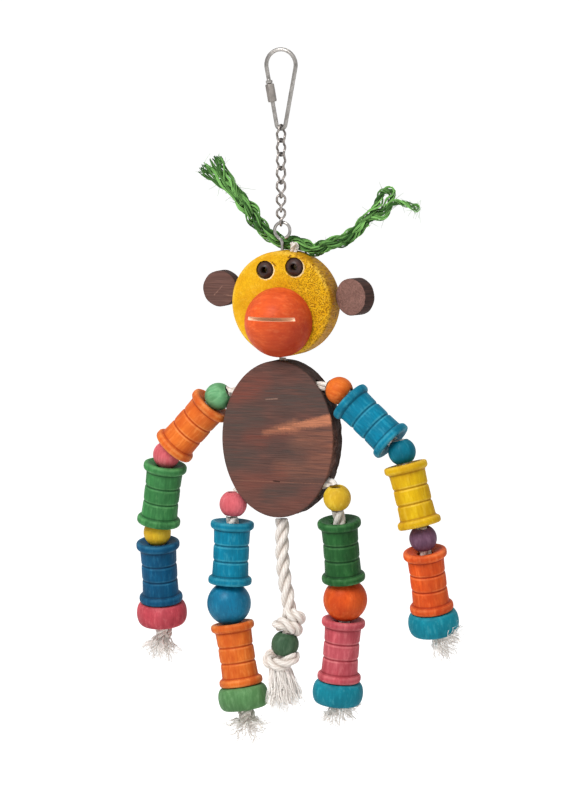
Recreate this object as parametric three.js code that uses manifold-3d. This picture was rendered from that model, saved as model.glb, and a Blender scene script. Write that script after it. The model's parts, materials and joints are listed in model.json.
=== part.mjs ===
// Hanging monkey figure made of dyed wooden beads and thread spools on cotton rope.
// A pear-shaped quick link, a short twisted chain and a screw eye carry the head, the head carries the
// torso slab, and four roped limbs and a tail hang from the slab.
// Lengths are in millimetres and angles in degrees. +Z is up and the face looks along -Y.
// The origin is the point inside the top of the quick link where the figure hangs on a hook.
// Left and right are the viewer's left (-X) and right (+X).
import * as THREE from "three";
import { mergeVertices } from "three/addons/utils/BufferGeometryUtils.js";
import Module from "manifold-3d";

const wasm = await Module();
wasm.setup();

// Clearances
const TOUCH_GAP = 0.3; // between pieces that rest on each other
const BORE_GAP = 0.35; // between a rope or a wire and the hole that it passes through

// Quick link
const LINK_WIRE = 2.5; // wire diameter
const LINK_TOP_RADIUS = 9.2; // centreline of the wide bow
const LINK_BOTTOM_RADIUS = 2.8; // centreline of the narrow bow
const LINK_HEIGHT = 49.3; // outside, top to bottom
const COLLAR_DIAMETER = 4.2;
const COLLAR_LENGTH = 1.8;
const COLLAR_START = 7.6; // down the left leg from where the bow ends
const LINK_STUB = 2.6; // threaded end below the collar
const LINK_OPENING = 5.4; // gap between the two wire ends
const SLEEVE_FLATS = 4.8; // across flats
const SLEEVE_LENGTH = 10.8;

// Chain
const CHAIN_COUNT = 7;
const CHAIN_WIRE = 1.3;
const CHAIN_WIDTH = 6.2; // outside
const CHAIN_PITCH = 8.26;
const CHAIN_TWIST = 90; // between the two bows of one link

// Screw eye
const EYE_WIRE = 1.9;
const EYE_OUTSIDE = 11.5;
const SHANK_LENGTH = 18; // below the ring
const SHANK_DEPTH = 12; // screwed into the head
const SHANK_X = 0.8;

// Head
const HEAD_RADIUS = 31.2;
const HEAD_THICKNESS = 18;
const HEAD_X = 3;
const HEAD_EDGE = 2.4; // rounding of the front edge
const MUZZLE_RADIUS = 20.8;
const MUZZLE_X = 2.5;
const MUZZLE_DROP = 10.8; // below the middle of the head
const MOUTH_RISE = 3; // above the middle of the muzzle
const MOUTH_HEIGHT = 2.2;
const MOUTH_DEPTH = 6.6;
const EYE_BEADS = [
  { name: "left_eye", radius: 5.1, x: -6.9, rise: 19.9 },
  { name: "right_eye", radius: 5.4, x: 11.5, rise: 22 },
];
const EYE_BEAD_BORE = 1.4;
const EYE_BEAD_DEPTH = 4.8; // sunk into the head
const EYE_BEAD_PROUD = 1.4;
const EAR_THICKNESS = 9.5;
const EARS = [
  { name: "left_ear", side: -1, radius: 10.8, rise: 7.5, y: 4.2, yaw: 0 },
  { name: "right_ear", side: 1, radius: 11.1, rise: 4.7, y: 0.9, yaw: 18 },
];

// Neck
const NECK_RADIUS = 2.3;
const NECK_GAP = 2.6; // between the head and the torso
const NECK_X = 0.8;
const NECK_KNOT_RADIUS = 2.7;
const NECK_KNOT_X = 8.2;

// Torso
const TORSO_X = 0.8;
const TORSO_HALF_WIDTH = 35;
const TORSO_HALF_HEIGHT = 46.6;
const TORSO_THICKNESS = 17.5;
const TORSO_EDGE = 0.9; // broken edge
const LEFT_HIP_HOLE = 0.69; // ends of the slanting hip hole below the middle, as shares of the half height
const RIGHT_HIP_HOLE = 0.536;

// Where the limbs leave the torso: angles round its outline from the viewer's right
const LEFT_SHOULDER_ANGLE = 153.7;
const RIGHT_SHOULDER_ANGLE = 33.5;
const LEFT_HIP_ANGLE = -132.2;
const RIGHT_HIP_ANGLE = -38.7;

// Rope, beads, spools and buns
const ROPE_RADIUS = 3.85;
const BEAD_RADIUS = 8.2;
const KNEE_RADIUS = 13.1;
const SPOOL_LENGTH = 38;
const SPOOL_RADIUS = 13;
const SPOOL_BARREL = 10.6;
const SPOOL_FLANGE = 4.5;
const SPOOL_GROOVE = 1.1; // depth
const SPOOL_BORE = 4.7; // radius
const SPOOL_MOUTH = 6.6; // radius of the countersink that a bead sits in
const BUN_RADIUS = 15.1;
const BUN_HEIGHT = 14;
const BUN_FLAT = 10.9; // radius of its flat top and bottom
const KNOT_RADIUS = 5.4;
const KNOT_HEIGHT = 8;

// Tail
const TAIL_RADIUS = 3.9;
const TAIL_PIVOT_DROP = 1.5; // below the lowest point of the torso
const TAIL_LENGTH = 61.5; // from the pivot to the middle of the upper knot
const TAIL_ROUTE = [
  [0, 0],
  [-0.003, -0.293],
  [0.018, -0.553],
  [0.067, -0.829],
  [0.067, -1],
]; // x and z from the pivot as shares of the length, chosen by hand
const TAIL_BEAD = [0.029, -1.215];
const TAIL_LOWER_KNOT = [-0.003, -1.371];
const UPPER_KNOT_WIDTH = 16.8;
const LOWER_KNOT_WIDTH = 19.2;
const TASSEL_LENGTH = 31;
const TASSEL_RADIUS = 10.2;
const TASSEL_X = 1.8;

// Loose yarn below each hand and foot, from the bun to its ends
const LEFT_HAND_FRAY = 13.5;
const RIGHT_HAND_FRAY = 11;
const LEFT_FOOT_FRAY = 13;
const RIGHT_FOOT_FRAY = 12;

// Arms and legs. An angle is from straight down: out is away from the body, back is away from the viewer.
// place is the angle round the torso's outline of the first bead, and standoff its distance from the edge.
// A fray's spread and lean are shares of its length.
const ARMS = [
  {
    side: "left",
    sign: -1,
    place: LEFT_SHOULDER_ANGLE,
    standoff: 0.7,
    y: -2,
    slack: 0,
    colours: ["light_green", "orange", "pink", "green", "yellow", "blue", "pink"],
    segments: [
      { out: 42.6, back: 0 },
      { out: 10.3, back: 7.7 },
      { out: 1.5, back: 12.5 },
    ],
    fray: { length: LEFT_HAND_FRAY, spread: 0.71, lean: 0 },
  },
  {
    side: "right",
    sign: 1,
    place: RIGHT_SHOULDER_ANGLE,
    standoff: 0.4,
    y: -3,
    slack: 1.9,
    colours: ["orange", "teal", "blue", "yellow", "purple", "orange", "teal"],
    segments: [
      { out: 48.3, back: 0 },
      { out: 13.8, back: 2.2 },
      { out: 2.6, back: 14 },
    ],
    fray: { length: RIGHT_HAND_FRAY, spread: 0.78, lean: 0.45 },
  },
];
const LEGS = [
  {
    side: "left",
    sign: -1,
    place: LEFT_HIP_ANGLE,
    standoff: 0.7,
    y: -2,
    drop: 1.9,
    hole: LEFT_HIP_HOLE,
    colours: ["pink", "teal", "blue", "orange", "light_green"],
    segments: [
      { out: 3.3, back: 1.9 },
      { out: -8, back: 3.2 },
    ],
    fray: { length: LEFT_FOOT_FRAY, spread: 0.78, lean: 0 },
  },
  {
    side: "right",
    sign: 1,
    place: RIGHT_HIP_ANGLE,
    standoff: 1.5,
    y: -3,
    drop: 5.2,
    hole: RIGHT_HIP_HOLE,
    colours: ["yellow", "green", "orange", "pink", "teal"],
    segments: [
      { out: 0.6, back: 11.5 },
      { out: -6.7, back: 5.6 },
    ],
    fray: { length: RIGHT_FOOT_FRAY, spread: 0.73, lean: 0.21 },
  },
];

// Hair: x, y and z from the top of the head, chosen by hand
const HAIR_RADIUS = 3.4;
const HAIR_PLY_RADIUS = 2.1;
const HAIR_ROUTE = [
  [-30, 0, 31],
  [-23, 0, 24],
  [-18.3, 2, 15.6],
  [-11.5, 4.6, 8.4],
  [-3, 5.8, 4.2],
  [6, 6.6, 3.9],
  [16.4, 4.2, 0.9],
  [25.8, 1, 3.9],
  [35.9, 0, 6.9],
  [42.8, 0, 11.3],
  [50.4, 0, 18.6],
  [54.8, 0, 24.1],
];
const HAIR_PLIES = [
  [[-28, 0, 29.4], [-36, -0.4, 36.5], [-45, -0.8, 43], [-53.2, -1, 48.1]],
  [[-28, 0, 29.4], [-35, 0.6, 38.5], [-41, 0.9, 46.5], [-45.7, 1, 54.8]],
  [[52.4, -0.6, 20], [57, -0.8, 29], [59, -0.8, 36.5], [62.5, -0.4, 38.4], [66.5, 0.4, 38]],
  [[53.8, 0.8, 21.6], [60, 1, 25.5], [63.6, 0.9, 31], [66.5, 0.4, 38]],
  [[50.4, 0, 18.6], [56, -0.6, 20.3], [62.3, -1, 20.2], [65.4, -1, 27.4], [73, -1, 29.4], [80.2, -1, 27.2]],
];

// Facets
const WIRE_SIDES = 6;
const ROPE_SIDES = 10;
const SPOOL_SIDES = 16;
const BEAD_SIDES = 14;
const BEAD_STEPS = 6;

const RAD = Math.PI / 180;
const UP = new THREE.Vector3(0, 0, 1);
const onTail = ([x, z]) => new THREE.Vector3(x, 0, z).multiplyScalar(TAIL_LENGTH);

const COLOURS = {
  bright_steel: [0xb9b9b6, 0.3, 1],
  chain_steel: [0x9b9893, 0.38, 1],
  yellow: [0xe3b62b, 0.6, 0],
  orange: [0xe8702f, 0.6, 0],
  pink: [0xdc6672, 0.6, 0],
  light_green: [0x6bb17c, 0.6, 0],
  green: [0x2e7b40, 0.6, 0],
  teal: [0x1886a6, 0.6, 0],
  blue: [0x14608c, 0.6, 0],
  purple: [0x75506f, 0.6, 0],
  tail_green: [0x2c5f3e, 0.6, 0],
  dark_wood: [0x3b2220, 0.6, 0],
  ear_wood: [0x62473f, 0.75, 0],
  torso_wood: [0x6a4438, 0.75, 0],
  cotton: [0xe6ddd0, 0.95, 0],
  sisal: [0x2f8a3a, 0.9, 0],
};

const figure = new THREE.Group();
figure.name = "hanging_monkey";

// Names a mesh, gives it its own material and adds it to a group.
function addPiece(parent, name, geometry, colour) {
  const [hex, roughness, metalness] = COLOURS[colour];
  const material = new THREE.MeshStandardMaterial({ color: hex, roughness, metalness });
  const mesh = new THREE.Mesh(geometry, material);
  mesh.name = name;
  parent.add(mesh);
  return mesh;
}

// Solids for joining and cutting
function solidOf(geometry) {
  const bare = geometry.clone();
  bare.deleteAttribute("normal");
  bare.deleteAttribute("uv");
  const merged = mergeVertices(bare);
  return new wasm.Manifold(
    new wasm.Mesh({
      numProp: 3,
      vertProperties: new Float32Array(merged.attributes.position.array),
      triVerts: new Uint32Array(merged.index.array),
    }),
  );
}

function geometryOf(solid) {
  const mesh = solid.getMesh();
  const geometry = new THREE.BufferGeometry();
  geometry.setAttribute("position", new THREE.BufferAttribute(mesh.vertProperties, 3));
  geometry.setIndex(new THREE.BufferAttribute(mesh.triVerts, 1));
  geometry.computeVertexNormals();
  return geometry;
}

function joined(geometries) {
  return geometries.map(solidOf).reduce((all, next) => all.add(next));
}

function cut(geometry, ...tools) {
  return geometryOf(tools.reduce((left, tool) => left.subtract(tool), solidOf(geometry)));
}

// Turned work: a half profile of [radius, height] points, from the bottom up on the outside, about Z
function turned(profile, sides) {
  const points = profile.map(([radius, height]) => new THREE.Vector2(radius, height));
  return new THREE.LatheGeometry(points, sides).rotateX(Math.PI / 2);
}

function ring(profile, sides) {
  return turned([...profile, profile[0]], sides);
}

function arc(radius, from, to, steps, middle = 0) {
  return Array.from({ length: steps + 1 }, (_, i) => {
    const angle = (from + ((to - from) * i) / steps) * RAD;
    return [Math.max(0, radius * Math.cos(angle)), middle + radius * Math.sin(angle)];
  });
}

// A straight round rod between two points
function rod(from, to, radius, sides = ROPE_SIDES) {
  const along = new THREE.Vector3().subVectors(to, from);
  const geometry = new THREE.CylinderGeometry(radius, radius, along.length(), sides);
  const turn = new THREE.Quaternion().setFromUnitVectors(new THREE.Vector3(0, 1, 0), along.clone().normalize());
  return geometry.applyQuaternion(turn).translate(...from.clone().add(to).multiplyScalar(0.5).toArray());
}

function ball(middle, radius, sides = 12) {
  return new THREE.SphereGeometry(radius, sides, Math.ceil(sides / 2)).translate(...middle.toArray());
}

// A tube of one section along a smooth open curve
function tube(points, radius, steps, sides = 8) {
  const section = new THREE.Shape(
    Array.from({ length: sides }, (_, i) => {
      const angle = (2 * Math.PI * i) / sides;
      return new THREE.Vector2(radius * Math.cos(angle), radius * Math.sin(angle));
    }),
  );
  const extrudePath = new THREE.CatmullRomCurve3(points, false, "centripetal");
  return new THREE.ExtrudeGeometry(section, { steps, extrudePath, bevelEnabled: false });
}

// Round wire through a list of points, closed on itself or with flat ends. The first side direction is
// carried from ring to ring, and on a closed wire what it has turned by is shared out over the rings.
function wire(points, radius, closed, sides = WIRE_SIDES) {
  const count = points.length;
  const tangents = points.map((point, i) => {
    const before = closed ? points[(i + count - 1) % count] : points[Math.max(0, i - 1)];
    const after = closed ? points[(i + 1) % count] : points[Math.min(count - 1, i + 1)];
    return after.clone().sub(before).normalize();
  });
  const first = new THREE.Vector3(0, 1, 0);
  const normals = [first.sub(tangents[0].clone().multiplyScalar(first.dot(tangents[0]))).normalize()];
  const carry = (normal, from, to) =>
    normal.clone().applyQuaternion(new THREE.Quaternion().setFromUnitVectors(from, to));
  for (let i = 1; i < count; i++) {
    normals.push(carry(normals[i - 1], tangents[i - 1], tangents[i]));
  }
  let left = 0;
  if (closed) {
    const back = carry(normals[count - 1], tangents[count - 1], tangents[0]);
    const sideways = new THREE.Vector3().crossVectors(normals[0], back);
    left = Math.atan2(sideways.dot(tangents[0]), back.dot(normals[0]));
  }
  const positions = [];
  points.forEach((point, i) => {
    const across = new THREE.Vector3().crossVectors(tangents[i], normals[i]);
    for (let s = 0; s < sides; s++) {
      const angle = (2 * Math.PI * s) / sides - (left * i) / count;
      const offset = normals[i].clone().multiplyScalar(radius * Math.cos(angle));
      offset.addScaledVector(across, radius * Math.sin(angle));
      positions.push(...point.clone().add(offset).toArray());
    }
  });
  const index = [];
  for (let i = 0; i < (closed ? count : count - 1); i++) {
    for (let s = 0; s < sides; s++) {
      const a = i * sides + s;
      const b = i * sides + ((s + 1) % sides);
      const c = ((i + 1) % count) * sides + s;
      const d = ((i + 1) % count) * sides + ((s + 1) % sides);
      index.push(a, b, d, a, d, c);
    }
  }
  if (!closed) {
    const last = (count - 1) * sides;
    for (let s = 1; s < sides - 1; s++) {
      index.push(0, s + 1, s, last, last + s, last + s + 1);
    }
  }
  const geometry = new THREE.BufferGeometry();
  geometry.setAttribute("position", new THREE.Float32BufferAttribute(positions, 3));
  geometry.setIndex(index);
  geometry.computeVertexNormals();
  return geometry;
}

// A group whose own -Z runs down a limb that leans out and back
function limbGroup(parent, name, place, lean, back) {
  const group = new THREE.Group();
  group.name = name;
  group.position.copy(place);
  group.rotation.set(back * RAD, -lean * RAD, 0, "YXZ");
  figure.add(group);
  figure.updateMatrixWorld(true);
  parent.attach(group);
  return group;
}

function downLimb(lean, back) {
  return new THREE.Vector3(0, 0, -1).applyEuler(new THREE.Euler(back * RAD, -lean * RAD, 0, "YXZ"));
}

// Quick link: two bows joined by straight legs, open on the left leg
const linkTop = new THREE.Vector3(0, 0, LINK_WIRE / 2 - LINK_TOP_RADIUS);
const linkBottom = new THREE.Vector3(0, 0, LINK_WIRE * 1.5 - LINK_HEIGHT + LINK_BOTTOM_RADIUS);
const linkReach = linkTop.z - linkBottom.z;
const legAngle = Math.asin((LINK_TOP_RADIUS - LINK_BOTTOM_RADIUS) / linkReach);
const legStart = new THREE.Vector3(-Math.cos(legAngle), 0, -Math.sin(legAngle))
  .multiplyScalar(LINK_TOP_RADIUS)
  .add(linkTop);
const legDown = new THREE.Vector3(Math.sin(legAngle), 0, -Math.cos(legAngle));
const legLength = linkReach * Math.cos(legAngle);
const onLeg = (distance) => legStart.clone().addScaledVector(legDown, distance);
const stubEnd = COLLAR_START + COLLAR_LENGTH + LINK_STUB;

function bow(middle, radius, from, to, steps) {
  return Array.from({ length: steps + 1 }, (_, i) => {
    const angle = from + ((to - from) * i) / steps;
    return new THREE.Vector3(Math.cos(angle), 0, Math.sin(angle)).multiplyScalar(radius).add(middle);
  });
}

function pearLink() {
  const path = [
    onLeg(stubEnd + LINK_OPENING),
    onLeg((stubEnd + LINK_OPENING + legLength) / 2),
    ...bow(linkBottom, LINK_BOTTOM_RADIUS, legAngle - Math.PI, -legAngle, 7),
    ...bow(linkTop, LINK_TOP_RADIUS, -legAngle, Math.PI + legAngle, 15),
    onLeg(COLLAR_START / 2),
    onLeg(stubEnd),
  ];
  const collar = rod(onLeg(COLLAR_START), onLeg(COLLAR_START + COLLAR_LENGTH), COLLAR_DIAMETER / 2, 12);
  return geometryOf(joined([wire(path, LINK_WIRE / 2, false, 8), collar]));
}

// A hexagonal nut with eased corners at both ends and a bore for the wire
function linkSleeve() {
  const corner = SLEEVE_FLATS / 2 / Math.cos(Math.PI / 6);
  const ease = 0.5;
  const bore = LINK_WIRE / 2 + BORE_GAP;
  const nut = ring(
    [
      [bore, 0],
      [corner - ease, 0],
      [corner, ease],
      [corner, SLEEVE_LENGTH - ease],
      [corner - ease, SLEEVE_LENGTH],
      [bore, SLEEVE_LENGTH],
    ],
    6,
  );
  const turn = new THREE.Quaternion().setFromUnitVectors(UP, legDown);
  const start = onLeg(COLLAR_START + COLLAR_LENGTH + TOUCH_GAP);
  return nut.applyQuaternion(turn).translate(...start.toArray());
}

const hanger = new THREE.Group();
hanger.name = "hanger";
figure.add(hanger);
addPiece(hanger, "pear_link", pearLink(), "bright_steel");
addPiece(hanger, "link_sleeve", linkSleeve(), "bright_steel");

// Chain: every link is one closed loop that turns by CHAIN_TWIST between its bows. Link 1 hooks crosswise
// in the quick link and the screw eye faces front, so the chain turns by a quarter over its eight hooks.
const firstHook = linkBottom.z - LINK_BOTTOM_RADIUS + LINK_WIRE / 2 + TOUCH_GAP / 2;

function chainLink() {
  const half = (CHAIN_PITCH + TOUCH_GAP + CHAIN_WIRE) / 2;
  const bowRadius = (CHAIN_WIDTH - CHAIN_WIRE) / 2;
  const straight = half - bowRadius;
  const outline = [
    ...bow(new THREE.Vector3(0, 0, straight), bowRadius, 0, Math.PI, 6),
    ...[0.5, 0, -0.5].map((share) => new THREE.Vector3(-bowRadius, 0, share * 2 * straight * 0.6)),
    ...bow(new THREE.Vector3(0, 0, -straight), bowRadius, Math.PI, 2 * Math.PI, 6),
    ...[-0.5, 0, 0.5].map((share) => new THREE.Vector3(bowRadius, 0, share * 2 * straight * 0.6)),
  ];
  const twisted = outline.map((point) => {
    const height = Math.max(-1, Math.min(1, point.z / straight));
    const turn = (CHAIN_TWIST / 2) * Math.sin((height * Math.PI) / 2) * RAD;
    return point.clone().applyAxisAngle(UP, turn);
  });
  return wire(twisted, CHAIN_WIRE / 2, true);
}

const hookTurn = 90 / (CHAIN_COUNT + 1);
let chainParent = hanger;
for (let i = 1; i <= CHAIN_COUNT; i++) {
  const joint = new THREE.Group();
  joint.name = `chain_joint_${i}`;
  joint.position.set(0, 0, firstHook - (i - 1) * CHAIN_PITCH);
  joint.rotation.z = (90 - hookTurn * i - CHAIN_TWIST / 2) * RAD;
  figure.add(joint);
  figure.updateMatrixWorld(true);
  chainParent.attach(joint);
  const link = addPiece(joint, `chain_link_${i}`, chainLink(), "chain_steel");
  link.position.z = -CHAIN_PITCH / 2;
  chainParent = joint;
}

// Screw eye: the wire comes up the shank, bends into the ring and runs round to its own bend
const eyeHook = firstHook - CHAIN_COUNT * CHAIN_PITCH;
const eyeRadius = (EYE_OUTSIDE - EYE_WIRE) / 2;
const eyeMiddle = new THREE.Vector3(SHANK_X, 0, eyeHook + TOUCH_GAP / 2 + EYE_WIRE / 2 - eyeRadius);
const shankTop = eyeMiddle.z - eyeRadius - EYE_WIRE / 2;
const headTop = shankTop - SHANK_LENGTH + SHANK_DEPTH;
const headMiddle = new THREE.Vector3(HEAD_X, 0, headTop - HEAD_RADIUS);

const headGroup = new THREE.Group();
headGroup.name = "head_joint";
headGroup.position.set(0, 0, eyeHook);
figure.add(headGroup);
figure.updateMatrixWorld(true);

function screwEye() {
  const start = 232;
  const end = -72;
  const path = [
    new THREE.Vector3(SHANK_X, 0, shankTop - SHANK_LENGTH),
    new THREE.Vector3(SHANK_X, 0, shankTop - 3),
    new THREE.Vector3(SHANK_X - 0.3, 0, shankTop - 1.2),
    new THREE.Vector3(SHANK_X - 1.3, 0, shankTop + 0.4),
    ...bow(eyeMiddle, eyeRadius, start * RAD, end * RAD, 15),
  ];
  return wire(path, EYE_WIRE / 2, false, 8);
}

// Puts world-placed geometry into a group without moving it
function placeIn(group, name, geometry, colour) {
  const mesh = addPiece(figure, name, geometry, colour);
  group.attach(mesh);
  return mesh;
}

placeIn(headGroup, "screw_eye", screwEye(), "bright_steel");
chainParent.attach(headGroup);

// Head
const neckPivot = new THREE.Vector3(NECK_X, 0, headMiddle.z - HEAD_RADIUS - NECK_GAP / 2);
const neckKnotRise = Math.sqrt(HEAD_RADIUS ** 2 - (NECK_KNOT_X - HEAD_X) ** 2) + NECK_KNOT_RADIUS + TOUCH_GAP;
const neckKnot = new THREE.Vector3(NECK_KNOT_X, 0, headMiddle.z + neckKnotRise);

function neckCord(extra) {
  const along = new THREE.Vector3().subVectors(neckKnot, neckPivot).normalize();
  const foot = neckPivot.clone().addScaledVector(along, extra > 0 ? 0 : NECK_RADIUS + TOUCH_GAP);
  return rod(foot, neckKnot, NECK_RADIUS + extra, 8);
}

function head() {
  const half = HEAD_THICKNESS / 2;
  const disc = turned(
    [
      [0, -half],
      [HEAD_RADIUS - 1, -half],
      [HEAD_RADIUS, 1 - half],
      [HEAD_RADIUS, half - HEAD_EDGE],
      [HEAD_RADIUS - HEAD_EDGE * 0.3, half - HEAD_EDGE * 0.3],
      [HEAD_RADIUS - HEAD_EDGE, half],
      [0, half],
    ],
    36,
  );
  disc.rotateX(Math.PI / 2).translate(...headMiddle.toArray());
  const shankHole = rod(
    new THREE.Vector3(SHANK_X, 0, headTop + 2),
    new THREE.Vector3(SHANK_X, 0, headTop - SHANK_DEPTH - TOUCH_GAP),
    EYE_WIRE / 2 + BORE_GAP,
    8,
  );
  const eyeHoles = EYE_BEADS.map(({ radius, x, rise }) =>
    rod(
      new THREE.Vector3(x, -half - 2, headMiddle.z + rise),
      new THREE.Vector3(x, TOUCH_GAP + EYE_BEAD_DEPTH - half, headMiddle.z + rise),
      radius + BORE_GAP,
      14,
    ),
  );
  const holes = [shankHole, neckCord(0.55), ball(neckPivot, NECK_RADIUS + 0.7, 12), ...eyeHoles];
  return cut(disc, ...holes.map(solidOf));
}

function muzzle() {
  const dome = turned([[0, 0], [MUZZLE_RADIUS, 0], ...arc(MUZZLE_RADIUS, 8, 90, 7)], 24);
  const kerf = new THREE.BoxGeometry(3 * MUZZLE_RADIUS, MOUTH_HEIGHT, MOUTH_DEPTH * 2);
  kerf.translate(0, MOUTH_RISE, Math.sqrt(MUZZLE_RADIUS ** 2 - MOUTH_RISE ** 2));
  return cut(dome, solidOf(kerf));
}

function eyeBead(radius) {
  return ring(
    [
      [EYE_BEAD_BORE, -EYE_BEAD_DEPTH],
      [radius, -EYE_BEAD_DEPTH],
      [radius, -0.2],
      [radius * 0.8, EYE_BEAD_PROUD * 0.65],
      [EYE_BEAD_BORE + 0.9, EYE_BEAD_PROUD],
      [EYE_BEAD_BORE, EYE_BEAD_PROUD - 0.5],
    ],
    14,
  );
}

function ear(radius) {
  const half = EAR_THICKNESS / 2;
  const ease = 0.7;
  return turned(
    [
      [0, -half],
      [radius - ease, -half],
      [radius, ease - half],
      [radius, half - ease],
      [radius - ease, half],
      [0, half],
    ],
    20,
  );
}

const face = -HEAD_THICKNESS / 2;
placeIn(headGroup, "head", head(), "yellow");
const muzzlePlace = [MUZZLE_X, face - TOUCH_GAP, headMiddle.z - MUZZLE_DROP];
placeIn(headGroup, "muzzle", muzzle().rotateX(Math.PI / 2).translate(...muzzlePlace), "orange");
for (const { name, radius, x, rise } of EYE_BEADS) {
  const bead = eyeBead(radius).rotateX(Math.PI / 2).translate(x, face, headMiddle.z + rise);
  placeIn(headGroup, name, bead, "dark_wood");
}
for (const { name, side, radius, rise, y, yaw } of EARS) {
  const halfWidth = radius * Math.cos(yaw * RAD) + (EAR_THICKNESS / 2) * Math.sin(yaw * RAD);
  const reach = HEAD_RADIUS + TOUCH_GAP + halfWidth;
  const x = HEAD_X + side * Math.sqrt(reach ** 2 - rise ** 2);
  const disc = ear(radius).rotateX(Math.PI / 2).rotateZ(-side * yaw * RAD);
  placeIn(headGroup, name, disc.translate(x, y, headMiddle.z + rise), "ear_wood");
}

function neckPiece() {
  const knot = ball(neckKnot, NECK_KNOT_RADIUS, 10);
  return geometryOf(joined([neckCord(0), knot]));
}

placeIn(headGroup, "neck_cord", neckPiece(), "cotton");

// Hair: one rope over the head, its plies opened at both ends
function hair() {
  const placed = (points) => points.map(([x, y, z]) => new THREE.Vector3(x + HEAD_X, y, z + headTop));
  const rope = tube(placed(HAIR_ROUTE), HAIR_RADIUS, 20);
  const plies = HAIR_PLIES.map((points) => tube(placed(points), HAIR_PLY_RADIUS, 6, 5));
  return geometryOf(joined([rope, ...plies]));
}

placeIn(headGroup, "hair_rope", hair(), "sisal");

// Torso
const torsoMiddle = new THREE.Vector3(TORSO_X, 0, neckPivot.z - NECK_GAP / 2 - TORSO_HALF_HEIGHT);
const torsoJoint = new THREE.Group();
torsoJoint.name = "neck_joint";
torsoJoint.position.copy(neckPivot);
figure.add(torsoJoint);
figure.updateMatrixWorld(true);
headGroup.attach(torsoJoint);

// The middle of a bead that stands off the torso's edge
function beadPlace({ place, standoff, y }) {
  const angle = place * RAD;
  const edge = new THREE.Vector3(TORSO_HALF_WIDTH * Math.cos(angle), 0, TORSO_HALF_HEIGHT * Math.sin(angle));
  const outward = new THREE.Vector3(Math.cos(angle) / TORSO_HALF_WIDTH, 0, Math.sin(angle) / TORSO_HALF_HEIGHT);
  const middle = edge.add(outward.setLength(BEAD_RADIUS + standoff)).add(torsoMiddle);
  middle.y = y;
  return middle;
}

function torsoEdgeX(z, side) {
  const share = (z - torsoMiddle.z) / TORSO_HALF_HEIGHT;
  return TORSO_X + side * TORSO_HALF_WIDTH * Math.sqrt(1 - share ** 2);
}

const tailPivot = new THREE.Vector3(TORSO_X, 0, torsoMiddle.z - TORSO_HALF_HEIGHT - TAIL_PIVOT_DROP);
const ENTRY_RISE = 2.8; // the shoulder rope meets its bead a little above the bead's middle

// The ropes in the slab. With extra they are the holes that the ropes run in.
function torsoRopes(extra) {
  const radius = ROPE_RADIUS + extra;
  const beads = [...ARMS, ...LEGS].map(beadPlace);
  const shoulders = ARMS.map((arm, i) => beads[i].clone().add(new THREE.Vector3(-arm.sign * 5, 0, ENTRY_RISE)));
  const turns = LEGS.map(({ sign, y, hole }) => {
    const z = torsoMiddle.z - hole * TORSO_HALF_HEIGHT;
    return new THREE.Vector3(torsoEdgeX(z, sign) + sign * 2, y, z);
  });
  const stubs = turns.map((turn, i) => rod(turn, turn.clone().lerp(beads[ARMS.length + i], 0.6), radius));
  const spineFoot = tailPivot.clone().setZ(tailPivot.z + TAIL_RADIUS + TOUCH_GAP);
  const spineHead = neckPivot.clone().setZ(neckPivot.z - NECK_GAP);
  const ropes = joined([
    rod(shoulders[0], shoulders[1], radius),
    rod(turns[0], turns[1], radius),
    ...turns.map((turn) => ball(turn, radius, ROPE_SIDES)),
    ...stubs,
    rod(spineFoot, spineHead.clone().setZ(torsoMiddle.z), radius),
    rod(spineFoot.clone().setZ(torsoMiddle.z - 1), spineHead, NECK_RADIUS + extra),
    rod(spineHead.clone().setZ(spineHead.z - 1), neckPivot, NECK_RADIUS + extra),
    ball(neckPivot, NECK_RADIUS + extra, 12),
  ]);
  const rooms = beads.map((bead) => solidOf(ball(bead, BEAD_RADIUS + 2 * TOUCH_GAP, 14)));
  return rooms.reduce((left, room) => left.subtract(room), ropes);
}

function torso() {
  const outline = new THREE.Shape().absellipse(
    0,
    0,
    TORSO_HALF_WIDTH - TORSO_EDGE,
    TORSO_HALF_HEIGHT - TORSO_EDGE,
    0,
    2 * Math.PI,
  );
  const slab = new THREE.ExtrudeGeometry(outline, {
    depth: TORSO_THICKNESS - 2 * TORSO_EDGE,
    curveSegments: 20,
    bevelThickness: TORSO_EDGE,
    bevelSize: TORSO_EDGE,
    bevelSegments: 1,
  });
  slab.translate(0, 0, TORSO_EDGE - TORSO_THICKNESS / 2).rotateX(Math.PI / 2);
  slab.translate(...torsoMiddle.toArray());
  const above = tailPivot.clone().setZ(tailPivot.z + TAIL_RADIUS + 2 * TOUCH_GAP);
  const tailHole = rod(tailPivot, above, TAIL_RADIUS + 0.6, 12);
  return cut(slab, torsoRopes(BORE_GAP), solidOf(tailHole));
}

placeIn(torsoJoint, "torso", torso(), "torso_wood");
placeIn(torsoJoint, "torso_ropes", geometryOf(torsoRopes(0)), "cotton");

// Beads, spools and buns, each about its own Z axis
function bead(radius) {
  const angle = Math.asin((ROPE_RADIUS + BORE_GAP) / radius) / RAD;
  return ring(arc(radius, angle - 90, 90 - angle, radius > BEAD_RADIUS ? BEAD_STEPS + 2 : BEAD_STEPS), BEAD_SIDES);
}

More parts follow.
